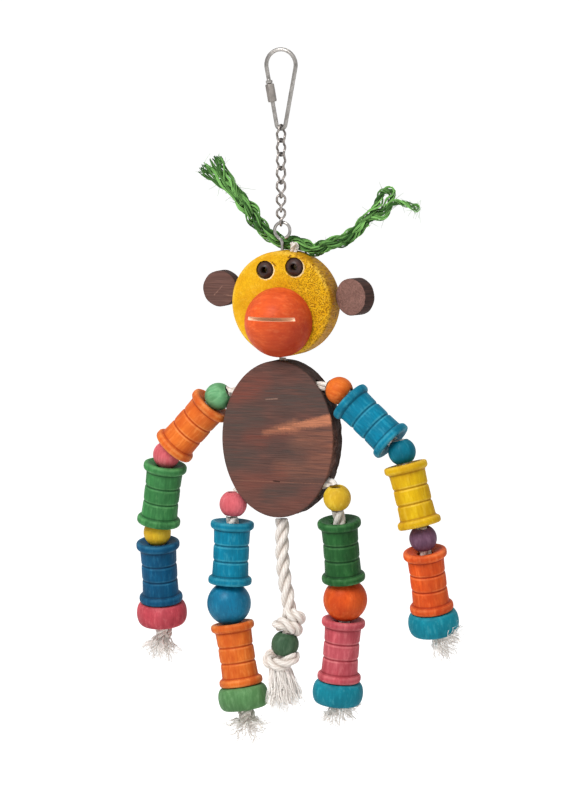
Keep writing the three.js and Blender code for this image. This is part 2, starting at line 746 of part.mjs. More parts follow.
function spool() {
  const barrel = SPOOL_LENGTH - 2 * SPOOL_FLANGE;
  const section = barrel / 3;
  const sink = SPOOL_MOUTH - SPOOL_BORE;
  const outside = [
    [SPOOL_RADIUS - 1.6, 0],
    [SPOOL_RADIUS, 1.5],
    [SPOOL_RADIUS, SPOOL_FLANGE - 1.3],
    [SPOOL_BARREL - 0.2, SPOOL_FLANGE],
  ];
  const grooves = [1, 2].flatMap((n) => {
    const height = SPOOL_FLANGE + n * section;
    return [
      [SPOOL_BARREL, height - 0.8],
      [SPOOL_BARREL - SPOOL_GROOVE, height],
      [SPOOL_BARREL, height + 0.8],
    ];
  });
  const topHalf = outside.map(([radius, height]) => [radius, SPOOL_LENGTH - height]).reverse();
  return ring(
    [
      [SPOOL_MOUTH, 0],
      ...outside,
      ...grooves,
      ...topHalf,
      [SPOOL_MOUTH, SPOOL_LENGTH],
      [SPOOL_BORE, SPOOL_LENGTH - sink],
      [SPOOL_BORE, sink],
    ],
    SPOOL_SIDES,
  );
}

function bun() {
  const bore = ROPE_RADIUS + BORE_GAP;
  return ring(
    [
      [bore, 0],
      [BUN_FLAT - 0.6, 0],
      [BUN_RADIUS - 1.6, BUN_HEIGHT * 0.16],
      [BUN_RADIUS, BUN_HEIGHT * 0.42],
      [BUN_RADIUS - 0.2, BUN_HEIGHT * 0.62],
      [BUN_RADIUS - 1.7, BUN_HEIGHT * 0.88],
      [BUN_FLAT + 0.6, BUN_HEIGHT],
      [bore, BUN_HEIGHT],
    ],
    16,
  );
}

// The distance from a bead's middle to the face of a spool that the bead sits in
function seat(radius) {
  return Math.sqrt((radius + TOUCH_GAP) ** 2 - SPOOL_MOUTH ** 2);
}

// The end of a rope, hollowed to clear a bead that turns next to it: the bead's middle is at the given
// height and the rope is above it (side 1) or below it (side -1)
function hollow(radius, middle, side) {
  const clear = radius + TOUCH_GAP + 0.05;
  return [0, 0.55, 1].map((share) => {
    const out = share * ROPE_RADIUS;
    return [out, middle + side * Math.sqrt(clear ** 2 - out ** 2)];
  });
}

// A rope between two beads, the upper one at height 0 and the lower one at height -pitch
function ropeBetween(upperRadius, lowerRadius, pitch, top = null) {
  const foot = hollow(lowerRadius, -pitch, 1);
  const head = top === null ? hollow(upperRadius, 0, -1).reverse() : [[ROPE_RADIUS, top], [0, top]];
  return turned([...foot, ...head], ROPE_SIDES);
}

function ropeLength(top, bottom) {
  return turned([[0, bottom], [ROPE_RADIUS, bottom], [ROPE_RADIUS, top], [0, top]], ROPE_SIDES);
}

// A brush of loose yarn as one fluted, flared solid, hanging down from the given height
function brush(top, neck, spread, length, lean) {
  const flutes = 7;
  const geometry = turned(
    [
      [0, top - length],
      [spread * 0.75, top - length],
      [spread, top - length * 0.82],
      [spread * 0.8, top - length * 0.45],
      [neck, top - length * 0.12],
      [neck, top],
      [0, top],
    ],
    2 * flutes,
  );
  const position = geometry.attributes.position;
  for (let i = 0; i < position.count; i++) {
    const depth = (top - position.getZ(i)) / length;
    const angle = Math.atan2(position.getY(i), position.getX(i));
    const swell = 1 + 0.14 * depth * Math.cos(flutes * angle);
    position.setXY(i, position.getX(i) * swell + lean * depth, position.getY(i) * swell);
  }
  return geometry;
}

// The last length of a limb's rope: through the bead, the spool and the bun, into a knot and its brush
function endRope(top, bottom, { length, spread, lean }) {
  const knotMiddle = bottom - KNOT_HEIGHT / 2;
  const knot = turned(arc(1, -90, 90, 6).map(([r, h]) => [r * KNOT_RADIUS, (h * KNOT_HEIGHT) / 2 + knotMiddle]), 12);
  return geometryOf(
    joined([
      ropeLength(top, knotMiddle),
      knot,
      brush(knotMiddle, ROPE_RADIUS - 0.4, spread * length, length + KNOT_HEIGHT / 2, lean * length),
    ]),
  );
}

const inBead = (radius) => Math.sqrt(radius ** 2 - ROPE_RADIUS ** 2) - 0.1;

function arm({ side, sign, slack, segments, colours, fray, ...at }) {
  const step = seat(BEAD_RADIUS) + slack;
  const pitch = 2 * step + SPOOL_LENGTH;
  const colour = [...colours];
  let place = beadPlace(at);
  const entry = new THREE.Vector3(-sign, 0, 0);
  const along = entry.sub(downLimb(sign * segments[0].out, segments[0].back)).normalize();
  const beadLean = Math.atan2(-along.x, along.z) / RAD;
  let parent = limbGroup(torsoJoint, `${side}_shoulder_swing`, place, beadLean, 0);
  addPiece(parent, `${side}_shoulder_bead`, bead(BEAD_RADIUS), colour.shift());
  const half = inBead(BEAD_RADIUS);
  addPiece(parent, `${side}_shoulder_rope`, ropeLength(half, -half), "cotton");
  const names = ["upper", "middle", "lower"];
  const joints = ["shoulder_flex", "elbow", "wrist"];
  const beads = [null, "elbow_bead", "wrist_bead"];
  segments.forEach(({ out, back }, i) => {
    const group = limbGroup(parent, `${side}_${joints[i]}`, place, sign * out, back);
    if (beads[i]) {
      addPiece(group, `${side}_${beads[i]}`, bead(BEAD_RADIUS), colour.shift());
    }
    const reel = addPiece(group, `${side}_${names[i]}_spool`, spool(), colour.shift());
    reel.position.z = -step - SPOOL_LENGTH;
    if (i < 2) {
      const top = i === 0 ? null : half;
      addPiece(group, `${side}_${names[i]}_rope`, ropeBetween(BEAD_RADIUS, BEAD_RADIUS, pitch, top), "cotton");
    } else {
      const bunTop = -step - SPOOL_LENGTH - TOUCH_GAP;
      const disc = addPiece(group, `${side}_hand_bun`, bun(), colour.shift());
      disc.position.z = bunTop - BUN_HEIGHT;
      const rope = endRope(half, bunTop - BUN_HEIGHT - TOUCH_GAP, fray);
      addPiece(group, `${side}_lower_rope`, rope, "cotton");
    }
    place = place.clone().addScaledVector(downLimb(sign * out, back), pitch);
    parent = group;
  });
}

function leg({ side, sign, drop, segments, colours, fray, ...at }) {
  const colour = [...colours];
  const thighTop = BEAD_RADIUS + drop;
  const thigh = thighTop + SPOOL_LENGTH + seat(KNEE_RADIUS);
  const place = beadPlace(at);
  const [upper, lower] = segments;
  const swing = limbGroup(torsoJoint, `${side}_hip_swing`, place, sign * upper.out, upper.back);
  addPiece(swing, `${side}_hip_bead`, bead(BEAD_RADIUS), colour.shift());
  const half = inBead(BEAD_RADIUS);
  addPiece(swing, `${side}_hip_rope`, ropeLength(half, -half), "cotton");
  const hip = limbGroup(swing, `${side}_hip_flex`, place, sign * upper.out, upper.back);
  const thighSpool = addPiece(hip, `${side}_thigh_spool`, spool(), colour.shift());
  thighSpool.position.z = -thighTop - SPOOL_LENGTH;
  addPiece(hip, `${side}_thigh_rope`, ropeBetween(BEAD_RADIUS, KNEE_RADIUS, thigh), "cotton");
  const kneePlace = place.clone().addScaledVector(downLimb(sign * upper.out, upper.back), thigh);
  const knee = limbGroup(hip, `${side}_knee`, kneePlace, sign * lower.out, lower.back);
  addPiece(knee, `${side}_knee_bead`, bead(KNEE_RADIUS), colour.shift());
  const shinSpool = addPiece(knee, `${side}_shin_spool`, spool(), colour.shift());
  const bunTop = -seat(KNEE_RADIUS) - SPOOL_LENGTH - TOUCH_GAP;
  shinSpool.position.z = bunTop + TOUCH_GAP;
  const disc = addPiece(knee, `${side}_foot_bun`, bun(), colour.shift());
  disc.position.z = bunTop - BUN_HEIGHT;
  const rope = endRope(inBead(KNEE_RADIUS), bunTop - BUN_HEIGHT - TOUCH_GAP, fray);
  addPiece(knee, `${side}_shin_rope`, rope, "cotton");
}

ARMS.forEach(arm);
LEGS.forEach(leg);

// Tail: the rope hangs from a round end in the torso, with a knot above and below its bead
function tail() {
  const at = (share) => onTail(share).add(tailPivot);
  const route = TAIL_ROUTE.map(at);
  const beadAt = at(TAIL_BEAD);
  const upperKnot = at(TAIL_ROUTE[TAIL_ROUTE.length - 1]);
  const lowerKnot = at(TAIL_LOWER_KNOT);
  const core = (radius) => rod(upperKnot, lowerKnot, radius);
  const upperHalf = UPPER_KNOT_WIDTH / 2;
  const lowerHalf = LOWER_KNOT_WIDTH / 2;
  const lump = upperKnot.clone().add(new THREE.Vector3(0.79, -0.12, 0.38).multiplyScalar(upperHalf));
  const tasselTop = lowerKnot.clone().add(new THREE.Vector3(TASSEL_X, 0, -2));
  const tassel = brush(0, 5, TASSEL_RADIUS, TASSEL_LENGTH, 0).translate(...tasselTop.toArray());
  const rope = joined([
    tube(route, TAIL_RADIUS, 10, 10),
    ball(tailPivot, TAIL_RADIUS, 10),
    ball(new THREE.Vector3(), upperHalf, 12).scale(1, 0.83, 0.9).translate(...upperKnot.toArray()),
    ball(lump, upperHalf * 0.43, 8),
    ball(new THREE.Vector3(), lowerHalf, 12).scale(1, 0.77, 0.61).translate(...lowerKnot.toArray()),
    tassel,
  ]);
  const room = solidOf(ball(beadAt, BEAD_RADIUS + TOUCH_GAP + 0.25, 16));
  return geometryOf(rope.subtract(room).add(solidOf(core(ROPE_RADIUS))));
}

const tailJoint = new THREE.Group();
tailJoint.name = "tail_joint";
tailJoint.position.copy(tailPivot);
figure.add(tailJoint);
figure.updateMatrixWorld(true);
torsoJoint.attach(tailJoint);
placeIn(tailJoint, "tail_rope", tail(), "cotton");
const tailRun = onTail(TAIL_ROUTE[TAIL_ROUTE.length - 1]).sub(onTail(TAIL_LOWER_KNOT));
const tailBeadPlace = onTail(TAIL_BEAD).add(tailPivot);
const tailBeadGroup = limbGroup(tailJoint, "tail_bead_spin", tailBeadPlace, Math.atan2(-tailRun.x, tailRun.z) / RAD, 0);
addPiece(tailBeadGroup, "tail_bead", bead(BEAD_RADIUS), "tail_green");

export default figure;
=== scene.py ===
# %% [markdown]
# # A hanging wooden monkey
# The real object is a toy that hangs from a quick link and a short chain. Its limbs are dyed beads and
# turned thread spools threaded on cotton rope, its body is an oval slab of dark wood, and its hair is one
# piece of green sisal rope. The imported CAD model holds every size, joint and place. This script dresses
# it: turned wood gets smooth round surfaces, rope gets real strands, and every surface gets a material.

import json
import math

import bpy
import numpy as np
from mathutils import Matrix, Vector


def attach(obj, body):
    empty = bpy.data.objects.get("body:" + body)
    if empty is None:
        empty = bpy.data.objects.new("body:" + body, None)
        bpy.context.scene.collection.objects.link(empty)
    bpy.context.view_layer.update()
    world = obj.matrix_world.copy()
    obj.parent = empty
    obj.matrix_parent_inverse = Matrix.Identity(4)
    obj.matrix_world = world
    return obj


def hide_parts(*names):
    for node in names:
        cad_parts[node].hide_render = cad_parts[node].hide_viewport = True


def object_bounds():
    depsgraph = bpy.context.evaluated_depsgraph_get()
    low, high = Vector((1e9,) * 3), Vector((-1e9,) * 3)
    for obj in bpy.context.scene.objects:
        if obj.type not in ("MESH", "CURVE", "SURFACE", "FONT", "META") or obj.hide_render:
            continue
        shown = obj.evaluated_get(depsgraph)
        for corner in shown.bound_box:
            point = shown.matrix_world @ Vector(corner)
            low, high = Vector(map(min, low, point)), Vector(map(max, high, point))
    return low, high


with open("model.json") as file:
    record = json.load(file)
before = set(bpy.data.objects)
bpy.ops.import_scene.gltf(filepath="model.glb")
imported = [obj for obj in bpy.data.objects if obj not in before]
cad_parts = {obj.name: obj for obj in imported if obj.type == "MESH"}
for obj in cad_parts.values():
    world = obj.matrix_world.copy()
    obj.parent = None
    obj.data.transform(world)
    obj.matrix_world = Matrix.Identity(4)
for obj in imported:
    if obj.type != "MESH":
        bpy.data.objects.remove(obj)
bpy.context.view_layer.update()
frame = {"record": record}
bodies_of_nodes = {
    node: body
    for body, nodes in frame["record"]["behaviour"]["bodies"].items()
    for node in nodes
}
joints = {joint["name"]: joint for joint in frame["record"]["behaviour"]["joints"]}

# %% [markdown]
# ## Camera
# The photograph was taken from a little round to the viewer's right and from slightly above. Seen through
# a long lens from far away, round discs stay nearly free of perspective. The picture's middle lies 9
# pixels to the right of the hanging point and 348.5 pixels below it, at 0.59 mm a pixel.

# %% Camera
AZIMUTH = math.radians(20)
ELEVATION = math.radians(5)
PIXEL = 0.00059
PICTURE_HEIGHT = 800 * PIXEL
MIDDLE_RIGHT = 9 * PIXEL
MIDDLE_DOWN = 348.5 * PIXEL
CAMERA_DISTANCE = 4.0
SENSOR = 36


def direction(azimuth, elevation):
    """From the toy to where these two angles lead: (sin a cos e, -cos a cos e, sin e)."""
    level = math.cos(elevation)
    return np.array([math.sin(azimuth) * level, -math.cos(azimuth) * level, math.sin(elevation)])


to_right = np.array([math.cos(AZIMUTH), math.sin(AZIMUTH), 0])
to_camera = direction(AZIMUTH, ELEVATION)
to_top = np.cross(to_camera, to_right)
aim = MIDDLE_RIGHT * to_right - MIDDLE_DOWN * to_top

camera_data = bpy.data.cameras.new("camera")
camera_data.sensor_width = SENSOR
camera_data.lens = SENSOR * CAMERA_DISTANCE / PICTURE_HEIGHT
camera_data.clip_end = 100
camera = bpy.data.objects.new("camera", camera_data)
camera.location = aim + CAMERA_DISTANCE * to_camera
camera.rotation_euler = (math.pi / 2 - ELEVATION, 0, AZIMUTH)
bpy.context.collection.objects.link(camera)
bpy.context.scene.camera = camera
print("the camera looks at", np.round(aim, 4).tolist())

# %% [markdown]
# ## Surfaces from arrays
# Every piece here is a grid of points: rows run along the piece and columns run round it. One helper
# turns such grids into a mesh, fills its ends, and ties it to the CAD body and node that it stands for.
# Each point also carries an attribute named `own`, the point in the piece's own frame with Z along the
# grain, so that one wood material fits pieces that lie at any angle, and one named `shade_and_wear`, which
# is low in a groove and high on an edge. Materials paint a low value darker: as painted shade in grooves,
# holes, creases between strands, hair cores and the sides of sawn slices, and as wear where steel links rub.
# Turned wood paints a high value lighter, as rubbed wear with a painted highlight. On loose fibres the value
# is their random tone. All of this is worked out in millimetres, as on a drawing.

# %% Mesh helper
MM = 0.001


def grid_quads(sheets, rows, columns, first, join_rows):
    """Corner numbers of the quads between neighbouring rows and columns. Columns always wrap round."""
    sheet = np.arange(sheets)[:, None, None] * rows * columns
    row = np.arange(rows if join_rows else rows - 1)[None, :, None]
    column = np.arange(columns)[None, None, :]
    next_row = (row + 1) % rows
    next_column = (column + 1) % columns
    corners = [(row, column), (row, next_column), (next_row, next_column), (next_row, column)]
    quads = np.stack([sheet + r * columns + c for r, c in corners], axis=-1)
    return first + quads.reshape(-1, 4)


class Shell:
    """Collects grids of points into one mesh, each with its own-frame points and its shade-and-wear value."""

    def __init__(self):
        self.points = []
        self.own = []
        self.shade_and_wear = []
        self.faces = []
        self.count = 0

    def add(self, grid, own=None, shade_and_wear=0.5, join_rows=False):
        """Adds a grid of rows x columns x 3 points, or several at once. Open ends get a flat cap."""
        grid = grid if grid.ndim == 4 else grid[None]
        sheets, rows, columns = grid.shape[:3]
        own = grid if own is None else np.broadcast_to(own, grid.shape)
        self.points.append(grid.reshape(-1, 3))
        self.own.append(own.reshape(-1, 3))
        self.shade_and_wear.append(np.broadcast_to(shade_and_wear, grid.shape[:3]).reshape(-1))
        self.faces += grid_quads(sheets, rows, columns, self.count, join_rows).tolist()
        if not join_rows:
            ring = self.count + np.arange(sheets)[:, None] * rows * columns + np.arange(columns)
            self.faces += ring[:, ::-1].tolist()
            self.faces += (ring + (rows - 1) * columns).tolist()
        self.count += sheets * rows * columns
        return self


def add_attribute(mesh, name, kind, values):
    """Stores one value for each vertex under a name that materials can read."""
    if name in mesh.attributes:
        mesh.attributes.remove(mesh.attributes[name])
    layer = mesh.attributes.new(name, kind, "POINT")
    field = "vector" if kind == "FLOAT_VECTOR" else "value"
    layer.data.foreach_set(field, np.asarray(values, dtype=np.float32).ravel())


def mesh_of(name, shell):
    """Makes the collected grids into a mesh in metres."""
    mesh = bpy.data.meshes.new(name)
    mesh.from_pydata(np.concatenate(shell.points) * MM, [], shell.faces)
    add_attribute(mesh, "own", "FLOAT_VECTOR", np.concatenate(shell.own) * MM)
    add_attribute(mesh, "shade_and_wear", "FLOAT", np.concatenate(shell.shade_and_wear))
    return mesh


def points_of(mesh):
    """The mesh's points, in millimetres."""
    flat = np.empty(len(mesh.vertices) * 3, dtype=np.float32)
    mesh.vertices.foreach_get("co", flat)
    return flat.reshape(-1, 3).astype(float) / MM


def dress(mesh, material, *nodes, body=None, smooth_angle=38):
    """Shades the mesh smooth, gives it its material, and lets it stand for its nodes on their body."""
    mesh.validate()
    mesh.shade_smooth()
    mesh.set_sharp_from_angle(angle=math.radians(smooth_angle))
    mesh.materials.append(material)
    piece = bpy.data.objects.new(mesh.name, mesh)
    bpy.context.collection.objects.link(piece)
    if nodes:
        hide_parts(*nodes)
    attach(piece, body or bodies_of_nodes[nodes[0]])
    return piece


def cut(mesh, *tools):
    """Takes the tool meshes out of a mesh with one exact boolean each, and returns what is left."""
    worker = bpy.data.objects.new("worker", mesh)
    bpy.context.collection.objects.link(worker)
    helpers = []
    for tool in tools:
        helper = bpy.data.objects.new("tool", tool)
        bpy.context.collection.objects.link(helper)
        step = worker.modifiers.new("cut", "BOOLEAN")
        step.operation = "DIFFERENCE"
        step.solver = "EXACT"
        step.object = helper
        helpers.append(helper)
    bpy.context.view_layer.update()
    evaluated = worker.evaluated_get(bpy.context.evaluated_depsgraph_get())
    result = bpy.data.meshes.new_from_object(evaluated)
    result.name = mesh.name
    for spare in [worker, *helpers]:
        bpy.data.objects.remove(spare)
    return result


# %% [markdown]
# ## Paths, tubes and turned shapes
# Almost everything on this toy is one of two shapes. A turned shape is a profile swept round a line: the
# beads, spools, buns and discs. A tube is a circle carried along a path: wire, strands and single fibres.
# Both are written once here. A path may be one curve or hundreds at once, because numpy works on all of
# them together.


# %% Paths and tubes
def unit(vectors):
    """Vectors of length one."""
    vectors = np.asarray(vectors, dtype=float)
    return vectors / np.linalg.norm(vectors, axis=-1, keepdims=True)


def length_along(path):
    """How far along its path each point is."""
    steps = np.linalg.norm(np.diff(path, axis=-2), axis=-1)
    return np.concatenate([np.zeros((*steps.shape[:-1], 1)), np.cumsum(steps, axis=-1)], axis=-1)


def smooth_path(points, count):
    """A Catmull-Rom curve through the points, resampled to evenly spaced points."""
    points = np.asarray(points, dtype=float)
    padded = np.concatenate([[2 * points[0] - points[1]], points, [2 * points[-1] - points[-2]]])
    t = np.linspace(0, 1, 24, endpoint=False)[None, :, None]
    before, start, end, after = (padded[i : len(padded) - 3 + i, None] for i in range(4))
    curve = 0.5 * (
        2 * start
        + (end - before) * t
        + (2 * before - 5 * start + 4 * end - after) * t**2
        + (3 * start - before - 3 * end + after) * t**3
    )
    curve = np.concatenate([curve.reshape(-1, 3), points[-1:]])
    along = length_along(curve)
    even = np.linspace(0, along[-1], count)
    return np.stack([np.interp(even, along, curve[:, axis]) for axis in range(3)], axis=-1)


def side_axes(path, reference, closed=False):
    """Two directions square to the path at each point, the second one square to the reference too."""
    if closed:
        tangent = unit(np.roll(path, -1, axis=-2) - np.roll(path, 1, axis=-2))
    else:
        tangent = unit(np.gradient(path, axis=-2))
    across = unit(np.cross(tangent, np.asarray(reference, dtype=float)))
    return np.cross(across, tangent), across


def tube(path, radius, columns=10, reference=(0, 1, 0), closed=False):
    """Points of a circle carried along the path: path + r (cos a N + sin a B), and the same unrolled.
    The unrolled points are (r cos a, r sin a, length along), which is the frame that yarn is drawn in."""
    normal, across = side_axes(path, reference, closed)
    angle = 2 * np.pi * np.arange(columns) / columns
    radius = np.broadcast_to(radius, path.shape[:-1])[..., None, None]
    circle = np.cos(angle)[:, None] * normal[..., None, :] + np.sin(angle)[:, None] * across[..., None, :]
    along = np.broadcast_to(length_along(path)[..., None], (*path.shape[:-1], columns))
    flat = np.broadcast_to(np.stack([np.cos(angle), np.sin(angle)], axis=-1), (*along.shape, 2))
    return path[..., None, :] + radius * circle, np.concatenate([radius * flat, along[..., None]], axis=-1)


# %% Turned shapes
def eased(corners, steps=5):
    """Rounds every corner of a closed outline. A corner is (radius, height, ease), and each becomes the
    curve (1-t)^2 P + 2t(1-t) C + t^2 Q, where P and Q lie `ease` before and after the corner C."""
    corners = np.asarray(corners, dtype=float)
    middle = corners[:, :2]
    ease = corners[:, 2:]
    before = middle + ease * unit(np.roll(middle, 1, axis=0) - middle)
    after = middle + ease * unit(np.roll(middle, -1, axis=0) - middle)
    t = np.linspace(0, 1, steps)[None, :, None]
    curve = (1 - t) ** 2 * before[:, None] + 2 * t * (1 - t) * middle[:, None] + t**2 * after[:, None]
    return curve.reshape(-1, 2)


def shade_and_wear_of(profile):
    """0.5 on the flat, less in a hollow and more on an edge: half plus a share of the turn per mm. The dye
    paints a hollow darker, as painted shade, and an edge lighter, as rubbed wear with a painted highlight.
    """
    into = profile - np.roll(profile, 1, axis=0)
    out = np.roll(profile, -1, axis=0) - profile
    turn = np.arctan2(into[:, 0] * out[:, 1] - into[:, 1] * out[:, 0], (into * out).sum(axis=1))
    length = 0.5 * (np.linalg.norm(into, axis=1) + np.linalg.norm(out, axis=1))
    return np.clip(0.5 + 0.6 * turn / length, 0, 1)


def turned(profile, sides=64):
    """Sweeps a profile of (radius, height) round Z: (r cos a, r sin a, h)."""
    angle = 2 * np.pi * np.arange(sides) / sides
    radius, height = profile[:, :1], profile[:, 1:]
    return np.stack([radius * np.cos(angle), radius * np.sin(angle), height + 0 * angle], axis=-1)


def place(origin, up, front=(0, -1, 0)):
    """A place for a piece: its origin, and axes with Z along `up` and -Y as near `front` as can be."""
    z = unit(up)
    x = unit(np.cross(-np.asarray(front, dtype=float), z))
    return np.asarray(origin, dtype=float), np.stack([x, np.cross(z, x), z])


def put_at(points, where):
    """Moves points from a piece's own frame to its place on the figure."""
    origin, axes = where
    return points @ axes + origin


def own_of(points, where):
    """The way back: points on the figure in the piece's own frame."""
    origin, axes = where
    return (points - origin) @ axes.T


def turned_piece(node, profile, where, material, shift=0.0, shade_and_wear=None, sides=64):
    """A turned piece in its place. `shift` gives each piece its own stretch of grain."""
    grid = turned(profile, sides)
    shade_and_wear = shade_and_wear_of(profile) if shade_and_wear is None else shade_and_wear
    own = grid + [0, shift, shift]
    shell = Shell().add(put_at(grid, where), own=own, shade_and_wear=shade_and_wear[:, None], join_rows=True)
    return dress(mesh_of(node + "_wood", shell), material, node)


# %% [markdown]
# ## Node helpers
# A material is a small program of nodes. Two helpers keep those programs short: one adds a node with its
# inputs, and one starts a node group with named sockets, so that an effect is written once and used in
# many materials.


# %% Node helpers
def put(tree, kind, inputs=None, **settings):
    """Adds a node. `inputs` gives a plain value or another node's output for each socket."""
    made = tree.nodes.new(kind)
    for name, value in settings.items():
        setattr(made, name, value)
    for socket, value in (inputs or {}).items():
        if isinstance(value, bpy.types.NodeSocket):
            tree.links.new(value, made.inputs[socket])
        else:
            made.inputs[socket].default_value = value
    return made


def new_group(name, inputs, outputs):
    """Starts a node group and returns it with its input node and its output node."""
    group = bpy.data.node_groups.new(name, "ShaderNodeTree")
    for label, kind, value in inputs:
        socket = group.interface.new_socket(label, in_out="INPUT", socket_type=kind)
        socket.default_value = value
    for label, kind in outputs:
        group.interface.new_socket(label, in_out="OUTPUT", socket_type=kind)
    return group, group.nodes.new("NodeGroupInput"), group.nodes.new("NodeGroupOutput")


def noise(tree, points, stretch, detail=3.0, roughness=0.55):
    """Noise on points that are first stretched, so that a small number draws the pattern out that way."""
    scaled = put(tree, "ShaderNodeVectorMath", {0: points, 1: stretch}, operation="MULTIPLY")
    made = put(
        tree,
        "ShaderNodeTexNoise",
        {"Vector": scaled.outputs[0], "Scale": 1.0, "Detail": detail, "Roughness": roughness},
    )
    return made.outputs["Fac"]


def ramp(tree, value, low, high, to_low=0.0, to_high=1.0):
    """Maps low..high to 0..1, or to the two given ends, and clamps it."""
    inputs = {"Value": value, "From Min": low, "From Max": high, "To Min": to_low, "To Max": to_high}
    return put(tree, "ShaderNodeMapRange", inputs).outputs[0]


def sum_of(tree, first, second, operation="ADD"):
    """Adds, multiplies or otherwise joins two values."""
    return put(tree, "ShaderNodeMath", {0: first, 1: second}, operation=operation).outputs[0]


def blend_colour(tree, share, first, second, mode="MIX"):
    """Mixes two colours."""
    made = put(tree, "ShaderNodeMix", data_type="RGBA", blend_type=mode)
    for socket, value in ((0, share), (6, first), (7, second)):
        if isinstance(value, bpy.types.NodeSocket):
            tree.links.new(value, made.inputs[socket])
        else:
            made.inputs[socket].default_value = value
    return made.outputs[2]


def linear(red, green, blue):
    """Turns a colour as it looks on a screen, 0 to 255, into the linear colour that Blender mixes."""
    share = np.array([red, green, blue]) / 255
    value = np.where(share <= 0.04045, share / 12.92, ((share + 0.055) / 1.055) ** 2.4)
    return (*value.tolist(), 1.0)


MATT_SPECULAR = 0.1


def new_material(name):
    """A material with one Principled shader, returned with its node tree and that shader."""
    material = bpy.data.materials.new(name)
    material.use_nodes = True
    tree = material.node_tree
    tree.nodes.clear()
    shader = tree.nodes.new("ShaderNodeBsdfPrincipled")
    shader.inputs["Specular IOR Level"].default_value = MATT_SPECULAR
    output = tree.nodes.new("ShaderNodeOutputMaterial")
    tree.links.new(shader.outputs[0], output.inputs[0])
    return material, tree, shader


def finish_material(tree, shader, group, values, relief, gloss=0.0):
    """Places a group in a material, sets its inputs, and joins colour, roughness and relief."""
    placed_group = put(tree, "ShaderNodeGroup", node_tree=group)
    for label, value in values.items():
        placed_group.inputs[label].default_value = value
    bump = put(
        tree,
        "ShaderNodeBump",
        {"Height": placed_group.outputs["Height"], "Strength": 1.0, "Distance": relief},
    )
    tree.links.new(placed_group.outputs["Color"], shader.inputs["Base Color"])
    tree.links.new(placed_group.outputs["Roughness"], shader.inputs["Roughness"])
    tree.links.new(bump.outputs[0], shader.inputs["Normal"])
    shader.inputs["Coat Weight"].default_value = gloss
    shader.inputs["Coat Roughness"].default_value = 0.35


# %% [markdown]
# ## Dyed wood
# The beads and spools are turned from pale wood and dipped in dye. Dye soaks deep into open grain and
# stays thin on hard streaks, so one colour shows as many. Grooves and hollows are painted darker with the
# deep dye greyed, which is painted shade. Edges are painted lighter, partly as dye rubbed thin and partly
# as a painted highlight. The group draws long streaks along the piece's own Z, cloudy patches where the dip
# was uneven, short dark pores, and the fine rings that a lathe tool leaves. Broad clouds take the colour
# from its thin, bright side to its deep one, as where a wet piece lay against another while it dried. Flat
# colour would look like plastic.

# %% Dyed wood
dyed_wood, source, sink = new_group(
    "dyed_wood",
    [
        ("Dye", "NodeSocketColor", (0.8, 0.2, 0.05, 1)),
        ("Deep dye", "NodeSocketColor", (0.4, 0.08, 0.02, 1)),
        ("Bright dye", "NodeSocketColor", (0.9, 0.3, 0.05, 1)),
        ("Rubbed", "NodeSocketColor", (0.9, 0.4, 0.2, 1)),
        ("Clouds", "NodeSocketFloat", 0.7),
        ("Streaks", "NodeSocketFloat", 0.5),
        ("Lathe rings", "NodeSocketFloat", 0.5),
    ],
    [("Color", "NodeSocketColor"), ("Roughness", "NodeSocketFloat"), ("Height", "NodeSocketFloat")],
)
own = put(dyed_wood, "ShaderNodeAttribute", attribute_name="own").outputs["Vector"]
shade_and_wear = put(dyed_wood, "ShaderNodeAttribute", attribute_name="shade_and_wear").outputs["Fac"]
streak = ramp(dyed_wood, noise(dyed_wood, own, (900, 900, 34), 4.0), 0.35, 0.72)
patch = ramp(dyed_wood, noise(dyed_wood, own, (110, 110, 60), 3.0), 0.36, 0.66)
pore = ramp(dyed_wood, noise(dyed_wood, own, (2600, 2600, 190), 2.0), 0.63, 0.72)
mottle = ramp(dyed_wood, noise(dyed_wood, own, (430, 430, 150), 4.0, 0.6), 0.34, 0.66)
rings = noise(dyed_wood, own, (25, 25, 2300), 1.0)
cloud = ramp(dyed_wood, noise(dyed_wood, own, (62, 62, 30), 1.5), 0.42, 0.6)
groove = ramp(dyed_wood, shade_and_wear, 0.5, 0.12)
edge = ramp(dyed_wood, shade_and_wear, 0.62, 1.0)
streak_share = sum_of(dyed_wood, streak, source.outputs["Streaks"], "MULTIPLY")
cloud_share = sum_of(dyed_wood, cloud, source.outputs["Clouds"], "MULTIPLY")
base = blend_colour(dyed_wood, cloud_share, source.outputs["Dye"], source.outputs["Bright dye"])
base = blend_colour(dyed_wood, streak_share, base, source.outputs["Deep dye"])
base = blend_colour(dyed_wood, ramp(dyed_wood, patch, 0, 1, 0, 0.52), base, source.outputs["Deep dye"])
base = blend_colour(dyed_wood, ramp(dyed_wood, mottle, 1, 0, 0, 0.3), base, source.outputs["Deep dye"])
base = blend_colour(dyed_wood, ramp(dyed_wood, mottle, 0.6, 1, 0, 0.13), base, source.outputs["Rubbed"])
base = blend_colour(dyed_wood, ramp(dyed_wood, pore, 0, 1, 0, 0.4), base, source.outputs["Deep dye"])
# Edges, where the shade-and-wear value is high, get the rubbed colour: partly dye rubbed thin, partly a
# painted highlight.
rub_and_highlight_share = sum_of(dyed_wood, edge, ramp(dyed_wood, patch, 0.9, 0.1, 0.05, 0.5), "MULTIPLY")
base = blend_colour(dyed_wood, rub_and_highlight_share, base, source.outputs["Rubbed"])
